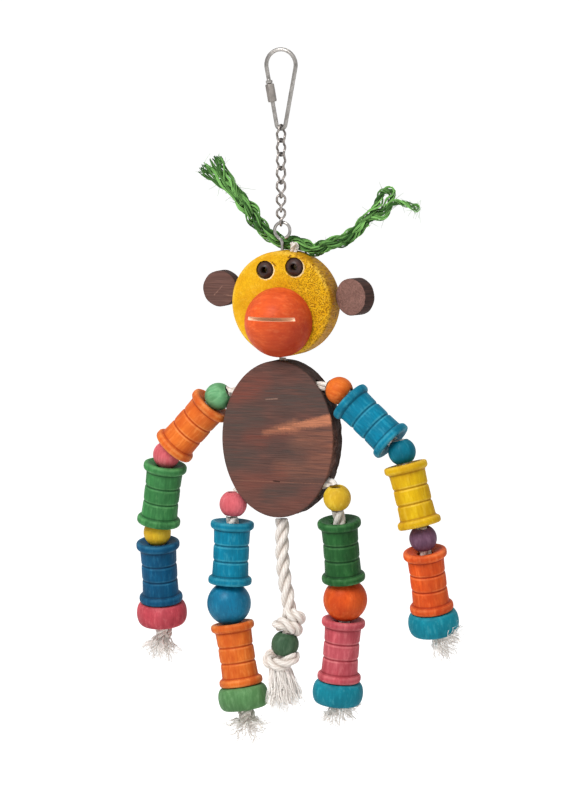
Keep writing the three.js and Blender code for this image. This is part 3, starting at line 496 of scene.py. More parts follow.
# Painted shade: grooves and hollows, where the shade-and-wear value is low, are mixed towards the deep dye
# darkened with grey.
groove_shadow_colour = blend_colour(dyed_wood, 1.0, source.outputs["Deep dye"], (0.7, 0.66, 0.66, 1), "MULTIPLY")
base = blend_colour(dyed_wood, ramp(dyed_wood, groove, 0, 1, 0, 0.7), base, groove_shadow_colour)
height = sum_of(dyed_wood, sum_of(dyed_wood, streak, 0.5, "MULTIPLY"), pore, "SUBTRACT")
ring_height = sum_of(dyed_wood, rings, source.outputs["Lathe rings"], "MULTIPLY")
dyed_wood.links.new(base, sink.inputs["Color"])
dyed_wood.links.new(ramp(dyed_wood, streak, 0, 1, 0.5, 0.68), sink.inputs["Roughness"])
dyed_wood.links.new(sum_of(dyed_wood, height, ring_height), sink.inputs["Height"])


def dye_values(dye, deep, rubbed, streaks=0.34, rings=0.6, clouds=0.7):
    """Inputs of the group for one dye: its colour, what it is where it soaked in, and where it is rubbed
    thin. The bright side of the dye is a quarter further from grey and a little lighter."""
    grey = np.mean(dye)
    bright = np.clip(grey + 1.25 * (np.array(dye) - grey) + 8, 0, 255)
    return {
        "Dye": linear(*dye),
        "Deep dye": linear(*deep),
        "Bright dye": linear(*bright),
        "Rubbed": linear(*rubbed),
        "Clouds": clouds,
        "Streaks": streaks,
        "Lathe rings": rings,
    }


def dyed(name, dye, deep, rubbed, streaks=0.34, rings=0.6, gloss=0.03):
    """One dye as a material."""
    material, tree, shader = new_material(name)
    values = dye_values(dye, deep, rubbed, streaks, rings)
    finish_material(tree, shader, dyed_wood, values, 0.00009, gloss)
    return material


dyes = {
    "yellow": dyed("yellow_dye", (221, 182, 18), (178, 124, 8), (242, 210, 100)),
    "pale_yellow": dyed("pale_yellow_dye", (222, 190, 58), (182, 134, 28), (246, 222, 130)),
    "orange": dyed("orange_dye", (209, 119, 52), (184, 62, 18), (246, 172, 104)),
    "red_orange": dyed("red_orange_dye", (214, 95, 40), (168, 46, 16), (242, 150, 94)),
    "pink": dyed("pink_dye", (222, 123, 131), (166, 56, 62), (244, 172, 168)),
    "deep_pink": dyed("deep_pink_dye", (204, 98, 107), (146, 44, 54), (238, 154, 152)),
    "light_green": dyed("light_green_dye", (120, 175, 130), (58, 110, 62), (172, 214, 170)),
    "sage": dyed("sage_dye", (98, 139, 93), (54, 96, 50), (152, 190, 142)),
    "green": dyed("green_dye", (70, 136, 78), (22, 72, 34), (120, 182, 116)),
    "deep_green": dyed("deep_green_dye", (43, 94, 48), (14, 54, 24), (98, 150, 96)),
    "teal": dyed("teal_dye", (4, 122, 150), (4, 82, 106), (98, 188, 200)),
    "sea_green": dyed("sea_green_dye", (20, 136, 154), (8, 92, 110), (108, 192, 198)),
    "petrol": dyed("petrol_dye", (4, 120, 143), (4, 74, 94), (84, 164, 180)),
    "blue": dyed("blue_dye", (6, 86, 124), (5, 52, 82), (74, 142, 170)),
    "ball_blue": dyed("ball_blue_dye", (4, 111, 144), (4, 74, 104), (84, 168, 194), 0.3, 0.2, 0.2),
    "purple": dyed("purple_dye", (115, 82, 102), (68, 42, 60), (158, 128, 146)),
    "dark_green": dyed("dark_green_dye", (80, 107, 82), (32, 60, 38), (124, 154, 122), 0.5, 1.6),
}

# %% [markdown]
# ## Beads, spools and buns
# A bead is a drilled ball. A thread spool has a thick rounded flange at each end, a barrel with two cut
# grooves, and a funnel at each end of its hole in which the next bead sits. A bun is a flattened drilled
# ball under a hand or a foot. All are lathe work, so each is one profile, and the profile's own turn tells
# the material where to paint an edge lighter, as rubbed wear with a painted highlight, and a hollow darker,
# as painted shade.

# %% Profiles of the turned pieces
ROPE = 3.85
BORE = 4.2
BEAD = 8.2
KNEE = 13.1
SPOOL_LENGTH = 38
SPOOL_RADIUS = 13
SPOOL_BORE = 4.7
SPOOL_MOUTH = 6.6
DISH = 1.1
GROOVES = (14.2, 23.8)
BUN_RADIUS = 15.1
BUN_HEIGHT = 14
BUN_FLAT = 10.5
BUN_ROUND = 0.7
TOUCH = 0.3


def bead_profile(radius, top_bore=BORE, lip=0.45):
    """A circle's arc from hole to hole, with a rounded lip at each. The hole at the top may be the smaller
    one, and then the bore narrows to it."""
    foot, top = (math.acos((bore + lip) / radius) for bore in (BORE, top_bore))
    outside = np.linspace(-foot, top, 44)
    arc = radius * np.stack([np.cos(outside), np.sin(outside)], axis=-1)
    turn = np.linspace(math.pi / 2, math.pi, 5)[1:]
    curl = lip * np.stack([np.cos(turn), np.sin(turn) - 1], axis=-1)
    return np.concatenate([arc[0] + curl[::-1] * [1, -1], arc, arc[-1] + curl])


def mirrored(corners, length):
    """The same corners at the other end of a piece of this length, in reverse order."""
    return [(radius, length - height, ease) for radius, height, ease in reversed(corners)]


def spool_profile():
    """Dished end, flange and grooved barrel, from the foot up on the outside and back down the bore."""
    rim = [(SPOOL_MOUTH, DISH, 0.3), (10.7, 0, 0.3), (SPOOL_RADIUS, 0, 1.9), (SPOOL_RADIUS, 4.2, 1.5)]
    middle = SPOOL_LENGTH / 2
    lower = [
        *rim,
        (10.9, 5.1, 0.8),
        (10.7, 9.4, 2),
        (10.6, GROOVES[0] - 1, 0.6),
        (9.85, GROOVES[0], 0.5),
        (10.6, GROOVES[0] + 1, 0.6),
    ]
    bore = [(SPOOL_BORE, SPOOL_LENGTH - 2, 0.5), (SPOOL_BORE, 2, 0.5)]
    return eased([*lower, (10.75, middle, 3), *mirrored(lower, SPOOL_LENGTH), *bore])


def spool_shade_and_wear(profile):
    """As for any turned piece, but less in the dished ends, which are painted darker: partly end grain that
    drinks more dye, partly painted shade in the hollow round the next bead.
    """
    radius, height = profile.T
    in_dish = (radius < 10.5) & (np.minimum(height, SPOOL_LENGTH - height) < 1.4 * DISH)
    return shade_and_wear_of(profile) - 0.16 * in_dish


def bun_profile():
    """A drilled disc whose side bulges: (flat + bulge cos^r t, half its height times 1 + sin t), where r is
    its roundness."""
    t = np.linspace(-math.pi / 2, math.pi / 2, 40)
    reach = BUN_FLAT + (BUN_RADIUS - BUN_FLAT) * np.cos(t).clip(0) ** BUN_ROUND
    side = np.stack([reach, BUN_HEIGHT / 2 * (1 + np.sin(t))], axis=-1)
    lip = np.array([[BORE, 0.5], [BORE + 0.15, 0.15], [BORE + 0.5, 0]])
    return np.concatenate([lip, side, lip[::-1] * [1, -1] + [0, BUN_HEIGHT]])


def limb_place(joint):
    """The place of the bead that a spin joint turns about. Its Z runs up the limb."""
    record = joints[joint]
    return place(np.array(record["pos_m"]) / MM, record["axis"])


def lowered(where, drop):
    """The same place moved down its own Z."""
    origin, axes = where
    return origin - drop * axes[2], axes


# %% Arms and legs
SEAT = math.sqrt((BEAD + TOUCH) ** 2 - SPOOL_MOUTH**2)
KNEE_SEAT = math.sqrt((KNEE + TOUCH) ** 2 - SPOOL_MOUTH**2)
ARM_SEATS = {"left": SEAT, "right": SEAT + 1.9}
THIGH_TOPS = {"left": BEAD + 1.9, "right": BEAD + 5.2}
ARM_DYES = {
    "left": ("light_green", "orange", "pink", "green", "pale_yellow", "blue", "deep_pink"),
    "right": ("orange", "teal", "petrol", "yellow", "purple", "red_orange", "sea_green"),
}
LEG_DYES = {
    "left": ("pink", "teal", "ball_blue", "orange", "sage"),
    "right": ("pale_yellow", "deep_green", "red_orange", "deep_pink", "sea_green"),
}
GRAIN_STEP = 40
NARROW_BORE = 3.6
spool_outline = spool_profile()
# For each kind of turned piece: its profile, its shade and wear values where they are not plain, and its
# number of sides.
turnings = {
    "first_bead": (bead_profile(BEAD, top_bore=NARROW_BORE), None, 64),
    "bead": (bead_profile(BEAD), None, 64),
    "knee": (bead_profile(KNEE), None, 80),
    "spool": (spool_outline, spool_shade_and_wear(spool_outline), 64),
    "bun": (bun_profile(), None, 72),
}
limb_places = {}

for number, side in enumerate(("left", "right")):
    seat = ARM_SEATS[side]
    arm = [limb_place(f"{side}_{part}_spool_spin") for part in ("upper", "middle", "lower")]
    inward = np.array([1 if side == "left" else -1, 0, 0])
    shoulder = place(arm[0][0], inward + arm[0][1][2])
    hand = lowered(arm[2], seat + SPOOL_LENGTH + TOUCH + BUN_HEIGHT)
    hip = limb_place(f"{side}_thigh_spool_spin")
    knee = limb_place(f"{side}_shin_spool_spin")
    shin = lowered(knee, KNEE_SEAT + SPOOL_LENGTH)
    foot = lowered(shin, TOUCH + BUN_HEIGHT)
    # Each piece with its kind, its place and how far along the wood's grain it was cut.
    strung = [
        ("shoulder_bead", "first_bead", shoulder, 0),
        ("upper_spool", "spool", lowered(arm[0], seat + SPOOL_LENGTH), 5),
        ("elbow_bead", "bead", arm[1], 11),
        ("middle_spool", "spool", lowered(arm[1], seat + SPOOL_LENGTH), 17),
        ("wrist_bead", "bead", arm[2], 23),
        ("lower_spool", "spool", lowered(arm[2], seat + SPOOL_LENGTH), 29),
        ("hand_bun", "bun", hand, 31),
        ("hip_bead", "first_bead", hip, 37),
        ("thigh_spool", "spool", lowered(hip, THIGH_TOPS[side] + SPOOL_LENGTH), 41),
        ("knee_bead", "knee", knee, 43),
        ("shin_spool", "spool", shin, 47),
        ("foot_bun", "bun", foot, 53),
    ]
    for (node, kind, where, grain), dye in zip(strung, ARM_DYES[side] + LEG_DYES[side]):
        outline, edges, sides = turnings[kind]
        shift = GRAIN_STEP * (number + 1) + grain
        turned_piece(f"{side}_{node}", outline, where, dyes[dye], shift, edges, sides)
    limb_places[side] = {
        "shoulder": shoulder,
        "arm": arm,
        "hand": hand,
        "hip": hip,
        "knee": knee,
        "foot": foot,
    }

tail_bead_place = limb_place("tail_bead_spin")
turned_piece("tail_bead", turnings["bead"][0], tail_bead_place, dyes["dark_green"], 7)
print(len(bpy.data.meshes), "meshes after the limbs")

# %% [markdown]
# ## Sawn wood and marks
# The torso and the ears are sawn slices of a dark, figured wood that was never turned or dyed. Broad bands,
# fine streaks and grey stains all run along the grain. Single features that the eye goes to, such as a
# split, a scratch or a pale streak, are marks: soft lines between two points whose edge is made ragged by
# noise. A mark is worked out in the shader, so it stays sharp on a surface with few faces.

# %% Sawn wood and marks
sawn_wood, source, sink = new_group(
    "sawn_wood",
    [
        ("Light", "NodeSocketColor", (0.4, 0.2, 0.15, 1)),
        ("Middle", "NodeSocketColor", (0.2, 0.1, 0.08, 1)),
        ("Dark", "NodeSocketColor", (0.08, 0.05, 0.04, 1)),
        ("Grain", "NodeSocketColor", (0.05, 0.03, 0.03, 1)),
        ("Side", "NodeSocketColor", (0.04, 0.02, 0.02, 1)),
        ("Stain", "NodeSocketFloat", 0.7),
    ],
    [("Color", "NodeSocketColor"), ("Roughness", "NodeSocketFloat"), ("Height", "NodeSocketFloat")],
)
own = put(sawn_wood, "ShaderNodeAttribute", attribute_name="own").outputs["Vector"]
shade_and_wear = put(sawn_wood, "ShaderNodeAttribute", attribute_name="shade_and_wear").outputs["Fac"]
band = ramp(sawn_wood, noise(sawn_wood, own, (95, 95, 30), 2.5, 0.6), 0.42, 0.58)
fine = ramp(sawn_wood, noise(sawn_wood, own, (1150, 1150, 62), 2.5, 0.5), 0.36, 0.62)
hair_line = ramp(sawn_wood, noise(sawn_wood, own, (1900, 1900, 42), 2.0), 0.6, 0.72)
stain = ramp(sawn_wood, noise(sawn_wood, own, (62, 62, 34), 4.0, 0.6), 0.42, 0.6)
grained = blend_colour(sawn_wood, band, source.outputs["Middle"], source.outputs["Light"])
stained = sum_of(sawn_wood, stain, source.outputs["Stain"], "MULTIPLY")
grained = blend_colour(sawn_wood, stained, grained, source.outputs["Dark"])
grained = blend_colour(sawn_wood, ramp(sawn_wood, fine, 0, 1, 0.5, 0), grained, source.outputs["Grain"])
grained = blend_colour(sawn_wood, ramp(sawn_wood, hair_line, 0, 1, 0, 0.2), grained, source.outputs["Light"])
# Painted shade: the sides of a slice, where the shade-and-wear value is low, are painted in the dark side
# colour.
side_grain = ramp(sawn_wood, fine, 0, 1, 0, 0.35)
shaded_side = blend_colour(sawn_wood, side_grain, source.outputs["Side"], source.outputs["Dark"])
grained = blend_colour(sawn_wood, ramp(sawn_wood, shade_and_wear, 0.4, 0.1), grained, shaded_side)
sawn_wood.links.new(grained, sink.inputs["Color"])
sawn_wood.links.new(ramp(sawn_wood, fine, 0, 1, 0.6, 0.78), sink.inputs["Roughness"])
height = sum_of(sawn_wood, fine, ramp(sawn_wood, hair_line, 0, 1, 0, 0.6))
sawn_wood.links.new(height, sink.inputs["Height"])

mark_group, source, sink = new_group(
    "mark",
    [
        ("Start", "NodeSocketVector", (0, 0, 0)),
        ("End", "NodeSocketVector", (0.01, 0, 0)),
        ("Start width", "NodeSocketFloat", 0.0005),
        ("End width", "NodeSocketFloat", 0.0005),
        ("Softness", "NodeSocketFloat", 0.0003),
        ("Ragged", "NodeSocketFloat", 0.0005),
    ],
    [("Mask", "NodeSocketFloat")],
)
points = put(mark_group, "ShaderNodeTexCoord").outputs["Object"]
wobble = noise(mark_group, points, (900, 900, 900), 2.0)
step = put(mark_group, "ShaderNodeVectorMath", {0: points, 1: source.outputs["Start"]}, operation="SUBTRACT")
span = put(
    mark_group,
    "ShaderNodeVectorMath",
    {0: source.outputs["End"], 1: source.outputs["Start"]},
    operation="SUBTRACT",
)
along = put(
    mark_group,
    "ShaderNodeVectorMath",
    {0: step.outputs[0], 1: span.outputs[0]},
    operation="DOT_PRODUCT",
)
square = put(
    mark_group,
    "ShaderNodeVectorMath",
    {0: span.outputs[0], 1: span.outputs[0]},
    operation="DOT_PRODUCT",
)
share = ramp(mark_group, sum_of(mark_group, along.outputs["Value"], square.outputs["Value"], "DIVIDE"), 0, 1)
foot = put(mark_group, "ShaderNodeVectorMath", {0: span.outputs[0]}, operation="SCALE")
mark_group.links.new(share, foot.inputs["Scale"])
away = put(mark_group, "ShaderNodeVectorMath", {0: step.outputs[0], 1: foot.outputs[0]}, operation="DISTANCE")
ragged = sum_of(mark_group, sum_of(mark_group, wobble, 0.5, "SUBTRACT"), source.outputs["Ragged"], "MULTIPLY")
distance = sum_of(mark_group, away.outputs["Value"], ragged)
width = put(mark_group, "ShaderNodeMapRange", {"Value": share})
mark_group.links.new(source.outputs["Start width"], width.inputs["To Min"])
mark_group.links.new(source.outputs["End width"], width.inputs["To Max"])
outer = sum_of(mark_group, width.outputs[0], source.outputs["Softness"])
mask = put(mark_group, "ShaderNodeMapRange", {"Value": distance})
mark_group.links.new(outer, mask.inputs["From Min"])
mark_group.links.new(width.outputs[0], mask.inputs["From Max"])
mark_group.links.new(mask.outputs[0], sink.inputs["Mask"])


def mark(tree, start, end, start_width, end_width, softness=0.3, ragged=0.6):
    """Places one mark between two points of the figure, all in millimetres, and returns its mask."""
    made = put(tree, "ShaderNodeGroup", node_tree=mark_group)
    made.inputs["Start"].default_value = np.array(start) * MM
    made.inputs["End"].default_value = np.array(end) * MM
    made.inputs["Start width"].default_value = start_width * MM
    made.inputs["End width"].default_value = end_width * MM
    made.inputs["Softness"].default_value = softness * MM
    made.inputs["Ragged"].default_value = ragged * MM
    return made.outputs["Mask"]


def start_material(name, group, values):
    """A material with a placed group, ready for marks: its tree, shader and a dictionary of outputs."""
    material, tree, shader = new_material(name)
    made = put(tree, "ShaderNodeGroup", node_tree=group)
    for label, value in values.items():
        made.inputs[label].default_value = value
    return material, tree, shader, {name: socket for name, socket in made.outputs.items()}


def end_material(tree, shader, parts, relief):
    """Joins colour, roughness and relief to the shader once all marks are on."""
    bump = put(tree, "ShaderNodeBump", {"Height": parts["Height"], "Strength": 1.0, "Distance": relief})
    tree.links.new(parts["Color"], shader.inputs["Base Color"])
    tree.links.new(parts["Roughness"], shader.inputs["Roughness"])
    tree.links.new(bump.outputs[0], shader.inputs["Normal"])


# %% [markdown]
# ## Head
# The head is a thick slice of a pale branch, dyed yellow, so its face is end grain full of pores and its
# rim shows short lengthwise streaks. The muzzle is half a turned ball with one saw kerf for a mouth, which
# went in after the dye and shows raw wood. Two dark beads sit in drilled holes for eyes and two slices of
# dark dowel are the ears. The holes and the kerf are real cuts, made with booleans, because their dark
# rims and bright lips are what makes the face. The insides of the holes are also painted darker, as
# painted shade, and the front edge of the rim is painted lighter, as rubbed wear with a painted highlight.

# %% Head sizes
HEAD = np.array([3, 0, -148.62])
HEAD_RADIUS = 31.2
HEAD_HALF = 9
MUZZLE = np.array([2.5, -9.3, -159.42])
MUZZLE_RADIUS = 20.8
MOUTH_RISE = 3
MOUTH_HEIGHT = 2.2
MOUTH_DEPTH = 6.6
DOWN_RIGHT = (0.72, 0.0, -0.69)
EYES = {"left_eye": ((-6.9, -128.72), 5.1), "right_eye": ((11.5, -126.62), 5.4)}
EYE_DEPTH = 4.8
EYE_GAP = 0.35
HEAD_TOP = HEAD[2] + HEAD_RADIUS
HANG_X = 0.8
SHANK_BORE = 1.3
SHANK_DEPTH = 12.3
NECK_BORE = 2.85
HEAD_SIDES = 128
# A profile stops this far from its axis, so that no face at the pole is without area.
NEAR_AXIS = 0.02
head_place = place(HEAD, (0, -1, 0), (0, 0, -1))


def solid_profile(corners, steps=5):
    """The eased outline of a solid turned piece, from its axis below to its axis above."""
    below, above = ((NEAR_AXIS, corners[end][1], 0) for end in (0, -1))
    return eased([below, *corners, above], steps)[steps - 1 : 1 - steps]


def rod_tool(start, end, radius, sides=48):
    """A plain round rod between two points, to cut a hole with."""
    path = np.linspace(start, end, 2)
    reference = (0, 1, 0) if abs(unit(path[1] - path[0])[1]) < 0.9 else (0, 0, 1)
    return mesh_of("rod", Shell().add(tube(path, radius, sides, reference)[0]))


def box_tool(low, high):
    """A plain box between two corners, to cut a kerf with."""
    low, high = np.array(low, dtype=float), np.array(high, dtype=float)
    square = np.array([[0, 0], [1, 0], [1, 1], [0, 1]])
    rows = [np.column_stack([square, np.full(4, level)]) for level in (0, 1)]
    return mesh_of("box", Shell().add(low + np.stack(rows) * (high - low)))


# %% Head disc
profile = solid_profile(
    [
        (15, -HEAD_HALF, 1),
        (HEAD_RADIUS, -HEAD_HALF, 1.2),
        (HEAD_RADIUS, 0, 2),
        (HEAD_RADIUS, HEAD_HALF, 2.4),
        (24, HEAD_HALF, 1),
        (12, HEAD_HALF, 1),
    ]
)
head_grid = turned(profile, HEAD_SIDES)
out_of_round = 1 + 0.004 * np.sin(3 * np.arange(HEAD_SIDES) * 2 * np.pi / HEAD_SIDES + 0.8)
head_grid[..., :2] *= out_of_round[:, None]
head_mesh = mesh_of("head_wood", Shell().add(put_at(head_grid, head_place)))
eye_tools = [
    rod_tool((x, -HEAD_HALF - 2, z), (x, EYE_DEPTH + TOUCH - HEAD_HALF, z), radius + EYE_GAP)
    for (x, z), radius in EYES.values()
]
shank_tool = rod_tool((HANG_X, 0, HEAD_TOP + 2), (HANG_X, 0, HEAD_TOP - SHANK_DEPTH), SHANK_BORE, 24)
NECK_PIVOT = np.array([HANG_X, 0, -181.12])
NECK_KNOT = np.array([8.2, 0, HEAD[2] + math.sqrt(HEAD_RADIUS**2 - 5.2**2) + 3.0])
neck_up = unit(NECK_KNOT - NECK_PIVOT)
neck_tool = rod_tool(NECK_PIVOT - neck_up, NECK_KNOT + neck_up, NECK_BORE, 32)
head_mesh = cut(head_mesh, *eye_tools, shank_tool, neck_tool)
points = points_of(head_mesh)
own_points = own_of(points, head_place)
rim = np.hypot(own_points[:, 0], own_points[:, 1])
# The front edge of the rim gets a high value, painted lighter as rubbed wear and painted highlight, and the
# insides of the holes get a low one, painted darker as painted shade.
shade_and_wear = 0.5 + 0.45 * np.exp(-(((rim - HEAD_RADIUS + 0.8) / 1.2) ** 2)) * (own_points[:, 2] > 5)
shade_and_wear = np.where((own_points[:, 2] < 8.6) & (rim < 27), 0.2, shade_and_wear)
add_attribute(head_mesh, "own", "FLOAT_VECTOR", own_points * MM)
add_attribute(head_mesh, "shade_and_wear", "FLOAT", shade_and_wear)

values = dye_values((230, 180, 26), (198, 136, 10), (242, 204, 96), 0.3, 0.3, 0.3)
yellow_face, tree, shader, parts = start_material("yellow_face", dyed_wood, values)
points = put(tree, "ShaderNodeTexCoord").outputs["Object"]
# The pores are real, but they are painted stronger towards the right, where light grazing the face would show
# them: that growth is painted shade.
pit = ramp(tree, noise(tree, points, (1700, 190, 1700), 2.0), 0.52, 0.62)
across = put(tree, "ShaderNodeSeparateXYZ", {0: points})
pit_shade_to_right = ramp(tree, across.outputs["X"], -0.006, 0.022, 0.12, 0.9)
pit = sum_of(tree, pit, pit_shade_to_right, "MULTIPLY")
parts["Color"] = blend_colour(tree, pit, parts["Color"], linear(146, 90, 14))
# Painted shade: the right side of the rim, which turns away from the key light, is painted a darker yellow.
right_side = ramp(tree, across.outputs["X"], 0.012, 0.03)
behind_face = ramp(tree, across.outputs["Y"], -0.0088, -0.006)
shaded_rim_side = sum_of(tree, right_side, behind_face, "MULTIPLY")
parts["Color"] = blend_colour(tree, ramp(tree, shaded_rim_side, 0, 1, 0, 0.5), parts["Color"], linear(184, 118, 22))
parts["Height"] = sum_of(tree, parts["Height"], sum_of(tree, pit, 2.2, "MULTIPLY"), "SUBTRACT")
for (x, z), radius in EYES.values():
    chipped = mark(tree, (x + 0.3, -9, z - 0.3), (x + 0.5, -9, z - 0.4), radius + 0.1, radius + 0.2, 0.5, 1.6)
    parts["Color"] = blend_colour(tree, chipped, parts["Color"], linear(246, 216, 160))
for start, end, width in (
    ((9.2, -9, -119.6), (8.6, -9, -121.0), 0.1),
    ((8.0, -9, -121.2), (13.4, -9, -121.6), 0.1),
    ((-2.0, -9, -124.4), (-0.4, -9, -126.0), 0.12),
    ((33.6, 2.6, -155.2), (33.8, 2.8, -156.4), 0.7),
):
    scar = mark(tree, start, end, width, width * 0.7, 0.5, 1.2)
    parts["Color"] = blend_colour(tree, scar, parts["Color"], linear(128, 78, 16))
    parts["Height"] = sum_of(tree, parts["Height"], sum_of(tree, scar, 2.0, "MULTIPLY"), "SUBTRACT")
end_material(tree, shader, parts, 0.00016)
dress(head_mesh, yellow_face, "head")

# %% Muzzle
angle = np.linspace(math.asin(0.12), math.pi / 2, 60)
dome = MUZZLE_RADIUS * np.stack([np.cos(angle), np.sin(angle)], axis=-1)
dome[-1, 0] = NEAR_AXIS
glued_side = [[NEAR_AXIS, 0], [8, 0], [16, 0], [MUZZLE_RADIUS - 0.5, 0], [MUZZLE_RADIUS - 0.1, 0.4]]
profile = np.concatenate([glued_side, dome])
muzzle_place = place(MUZZLE, (0, -1, 0), (0, 0, -1))
muzzle_mesh = mesh_of("muzzle_wood", Shell().add(put_at(turned(profile, HEAD_SIDES), muzzle_place)))
kerf_back = MUZZLE[1] - math.sqrt(MUZZLE_RADIUS**2 - MOUTH_RISE**2) + MOUTH_DEPTH
kerf_middle = MUZZLE[2] + MOUTH_RISE
kerf = box_tool(
    (MUZZLE[0] - 40, kerf_back - 30, kerf_middle - MOUTH_HEIGHT / 2),
    (MUZZLE[0] + 40, kerf_back, kerf_middle + MOUTH_HEIGHT / 2),
)
muzzle_mesh = cut(muzzle_mesh, kerf)
points = points_of(muzzle_mesh)
add_attribute(muzzle_mesh, "own", "FLOAT_VECTOR", ((points - MUZZLE) * MM)[:, [1, 2, 0]])
add_attribute(muzzle_mesh, "shade_and_wear", "FLOAT", np.full(len(points), 0.5))
values = dye_values((224, 98, 44), (164, 50, 26), (244, 158, 104), 0.3, 0.15, 0.5)
orange_ball, tree, shader, parts = start_material("orange_ball", dyed_wood, values)
points = put(tree, "ShaderNodeTexCoord").outputs["Object"]
middle = put(tree, "ShaderNodeCombineXYZ", {i: value * MM for i, value in enumerate(MUZZLE)})
depth = put(tree, "ShaderNodeVectorMath", {0: points, 1: middle.outputs[0]}, operation="DISTANCE")
raw = ramp(tree, depth.outputs["Value"], (MUZZLE_RADIUS - 0.1) * MM, (MUZZLE_RADIUS - 0.5) * MM)
# Darker towards the lower right, away from the key light: painted shade, with some deeper dye there.
down_right_reach = put(tree, "ShaderNodeVectorMath", {0: points, 1: DOWN_RIGHT}, operation="DOT_PRODUCT")
shade_and_dye_lower_right = ramp(tree, down_right_reach.outputs["Value"], 0.108, 0.127, 0, 0.62)
parts["Color"] = blend_colour(tree, shade_and_dye_lower_right, parts["Color"], linear(150, 42, 26))
ahead = put(tree, "ShaderNodeSeparateXYZ", {0: points})
raw = sum_of(tree, raw, ramp(tree, ahead.outputs["Y"], -0.012, -0.014), "MULTIPLY")
parts["Color"] = blend_colour(tree, raw, parts["Color"], linear(250, 214, 184))
end_material(tree, shader, parts, 0.0001)
shader.inputs["Coat Weight"].default_value = 0.08
shader.inputs["Coat Roughness"].default_value = 0.3
dress(muzzle_mesh, orange_ball, "muzzle")

# %% Eyes
brown = dyed("brown_bead", (62, 38, 32), (30, 17, 15), (140, 96, 80), 0.5, 0.4, 0.35)
for node, ((x, z), radius) in EYES.items():
    outline = eased(
        [
            (1.9, -EYE_DEPTH, 0.2),
            (radius, -EYE_DEPTH, 0.4),
            (radius, -0.4, 1.3),
            (radius * 0.7, 1.6, 1.6),
            (2.6, 1.9, 0.2),
            (1.9, 1.0, 0.2),
        ]
    )
    eye_place = place((x, -HEAD_HALF, z), (0, -1, 0), (0, 0, -1))
    turned_piece(node, outline, eye_place, brown, 17)

# %% Ears
EARS = {
    "left_ear": ((-38.63, 4.2, -141.12), 10.8, 0),
    "right_ear": ((46.27, 0.9, -143.92), 11.1, 18),
}
EAR_HALF = 4.75
EAR_SIDES = 96
EAR_GRAIN = {"left_ear": [1, 2, 0], "right_ear": [0, 1, 2]}
# For each ear: its light, middle and dark wood, the dark colour its side is painted as shade, and how much of
# it is stained.
ear_woods = {
    "left_ear": ((112, 82, 74), (102, 73, 66), (88, 63, 57), (50, 35, 32), 0.5),
    "right_ear": ((144, 106, 96), (130, 95, 86), (110, 80, 73), (48, 34, 31), 0.4),
}
ear_marks = {
    "left_ear": [((-37, -0.6, -139.5), (-42, -0.6, -145)), ((-36, -0.6, -144.6), (-30, -0.6, -145.3))],
    "right_ear": [((40, -3, -140.2), (51, -6, -139.2))],
}
for node, (middle, radius, yaw) in EARS.items():
    front = (-math.sin(math.radians(yaw)), -math.cos(math.radians(yaw)), 0)
    ear_place = place(middle, front, (0, 0, -1))
    profile = solid_profile(
        [
            (radius * 0.6, -EAR_HALF, 1),
            (radius, -EAR_HALF, 0.7),
            (radius, 0, 1),
            (radius, EAR_HALF, 0.7),
            (radius * 0.6, EAR_HALF, 1),
        ]
    )
    grid = turned(profile, EAR_SIDES)
    angle = 2 * np.pi * np.arange(EAR_SIDES) / EAR_SIDES
    grid[..., :2] *= (1 - 0.012 * (1 + np.sin(3 * angle + 1) * np.sin(5 * angle)))[:, None]
    rows = np.hypot(grid[..., 0], grid[..., 1])
    # The ear's side gets a low value, so it is painted dark as painted shade.
    shade_and_wear = np.where(rows > radius * 0.975, 0.05, 0.5)
    shell = Shell().add(put_at(grid, ear_place), own=grid[..., EAR_GRAIN[node]], shade_and_wear=shade_and_wear)
    light, mid, dark, side_colour, stain = ear_woods[node]
    values = {
        "Light": linear(*light),
        "Middle": linear(*mid),
        "Dark": linear(*dark),
        "Grain": linear(*(0.5 * (np.array(dark) + side_colour))),
        "Side": linear(*side_colour),
        "Stain": stain,
    }
    material, tree, shader, parts = start_material(node + "_slice", sawn_wood, values)
    for start, end in ear_marks[node]:
        split = mark(tree, start, end, 0.04, 0.08, 0.3, 0.9)
        parts["Color"] = blend_colour(tree, split, parts["Color"], linear(134, 100, 88))
    end_material(tree, shader, parts, 0.00018)
    dress(mesh_of(node + "_wood", shell), material, node)
print("head done")

# %% [markdown]
# ## A cracked hand
# The bun under the left hand has dried out and split along its grain. The crack is two marks, one after
# the other down the bulge, on that bun's own copy of the pink dye, so the other pink pieces stay whole.

# %% Crack in a hand
bun_middle = limb_places["left"]["hand"][0] + [0, 0, BUN_HEIGHT / 2]
values = dye_values((202, 88, 98), (146, 44, 54), (238, 154, 152))
cracked_pink, tree, shader, parts = start_material("cracked_pink", dyed_wood, values)
for start, end, start_width, end_width in (
    ((4.0, -13.0, 5.6), (4.7, -14.3, 0.5), 0.02, 0.1),
    ((4.7, -14.3, 0.5), (5.4, -12.3, -6.2), 0.1, 0.34),
):
    crack = mark(tree, bun_middle + start, bun_middle + end, start_width, end_width, 0.4, 0.8)
    parts["Color"] = blend_colour(tree, crack, parts["Color"], linear(84, 26, 30))
    parts["Height"] = sum_of(tree, parts["Height"], sum_of(tree, crack, 4.0, "MULTIPLY"), "SUBTRACT")
end_material(tree, shader, parts, 0.00012)
bpy.data.objects["left_hand_bun_wood"].data.materials[0] = cracked_pink

# %% [markdown]
# ## Torso
# The torso is an oval slab cut across a dark plank, so its grain runs from side to side, and the sawn edge
# is rough as bark at the lower right. The whole edge is painted much darker than the faces, which is
# painted shade. The slab is a grid of rings: an ellipse that shrinks to nothing on both faces, with a rough
# wall between. The rope holes are drilled through its edge.

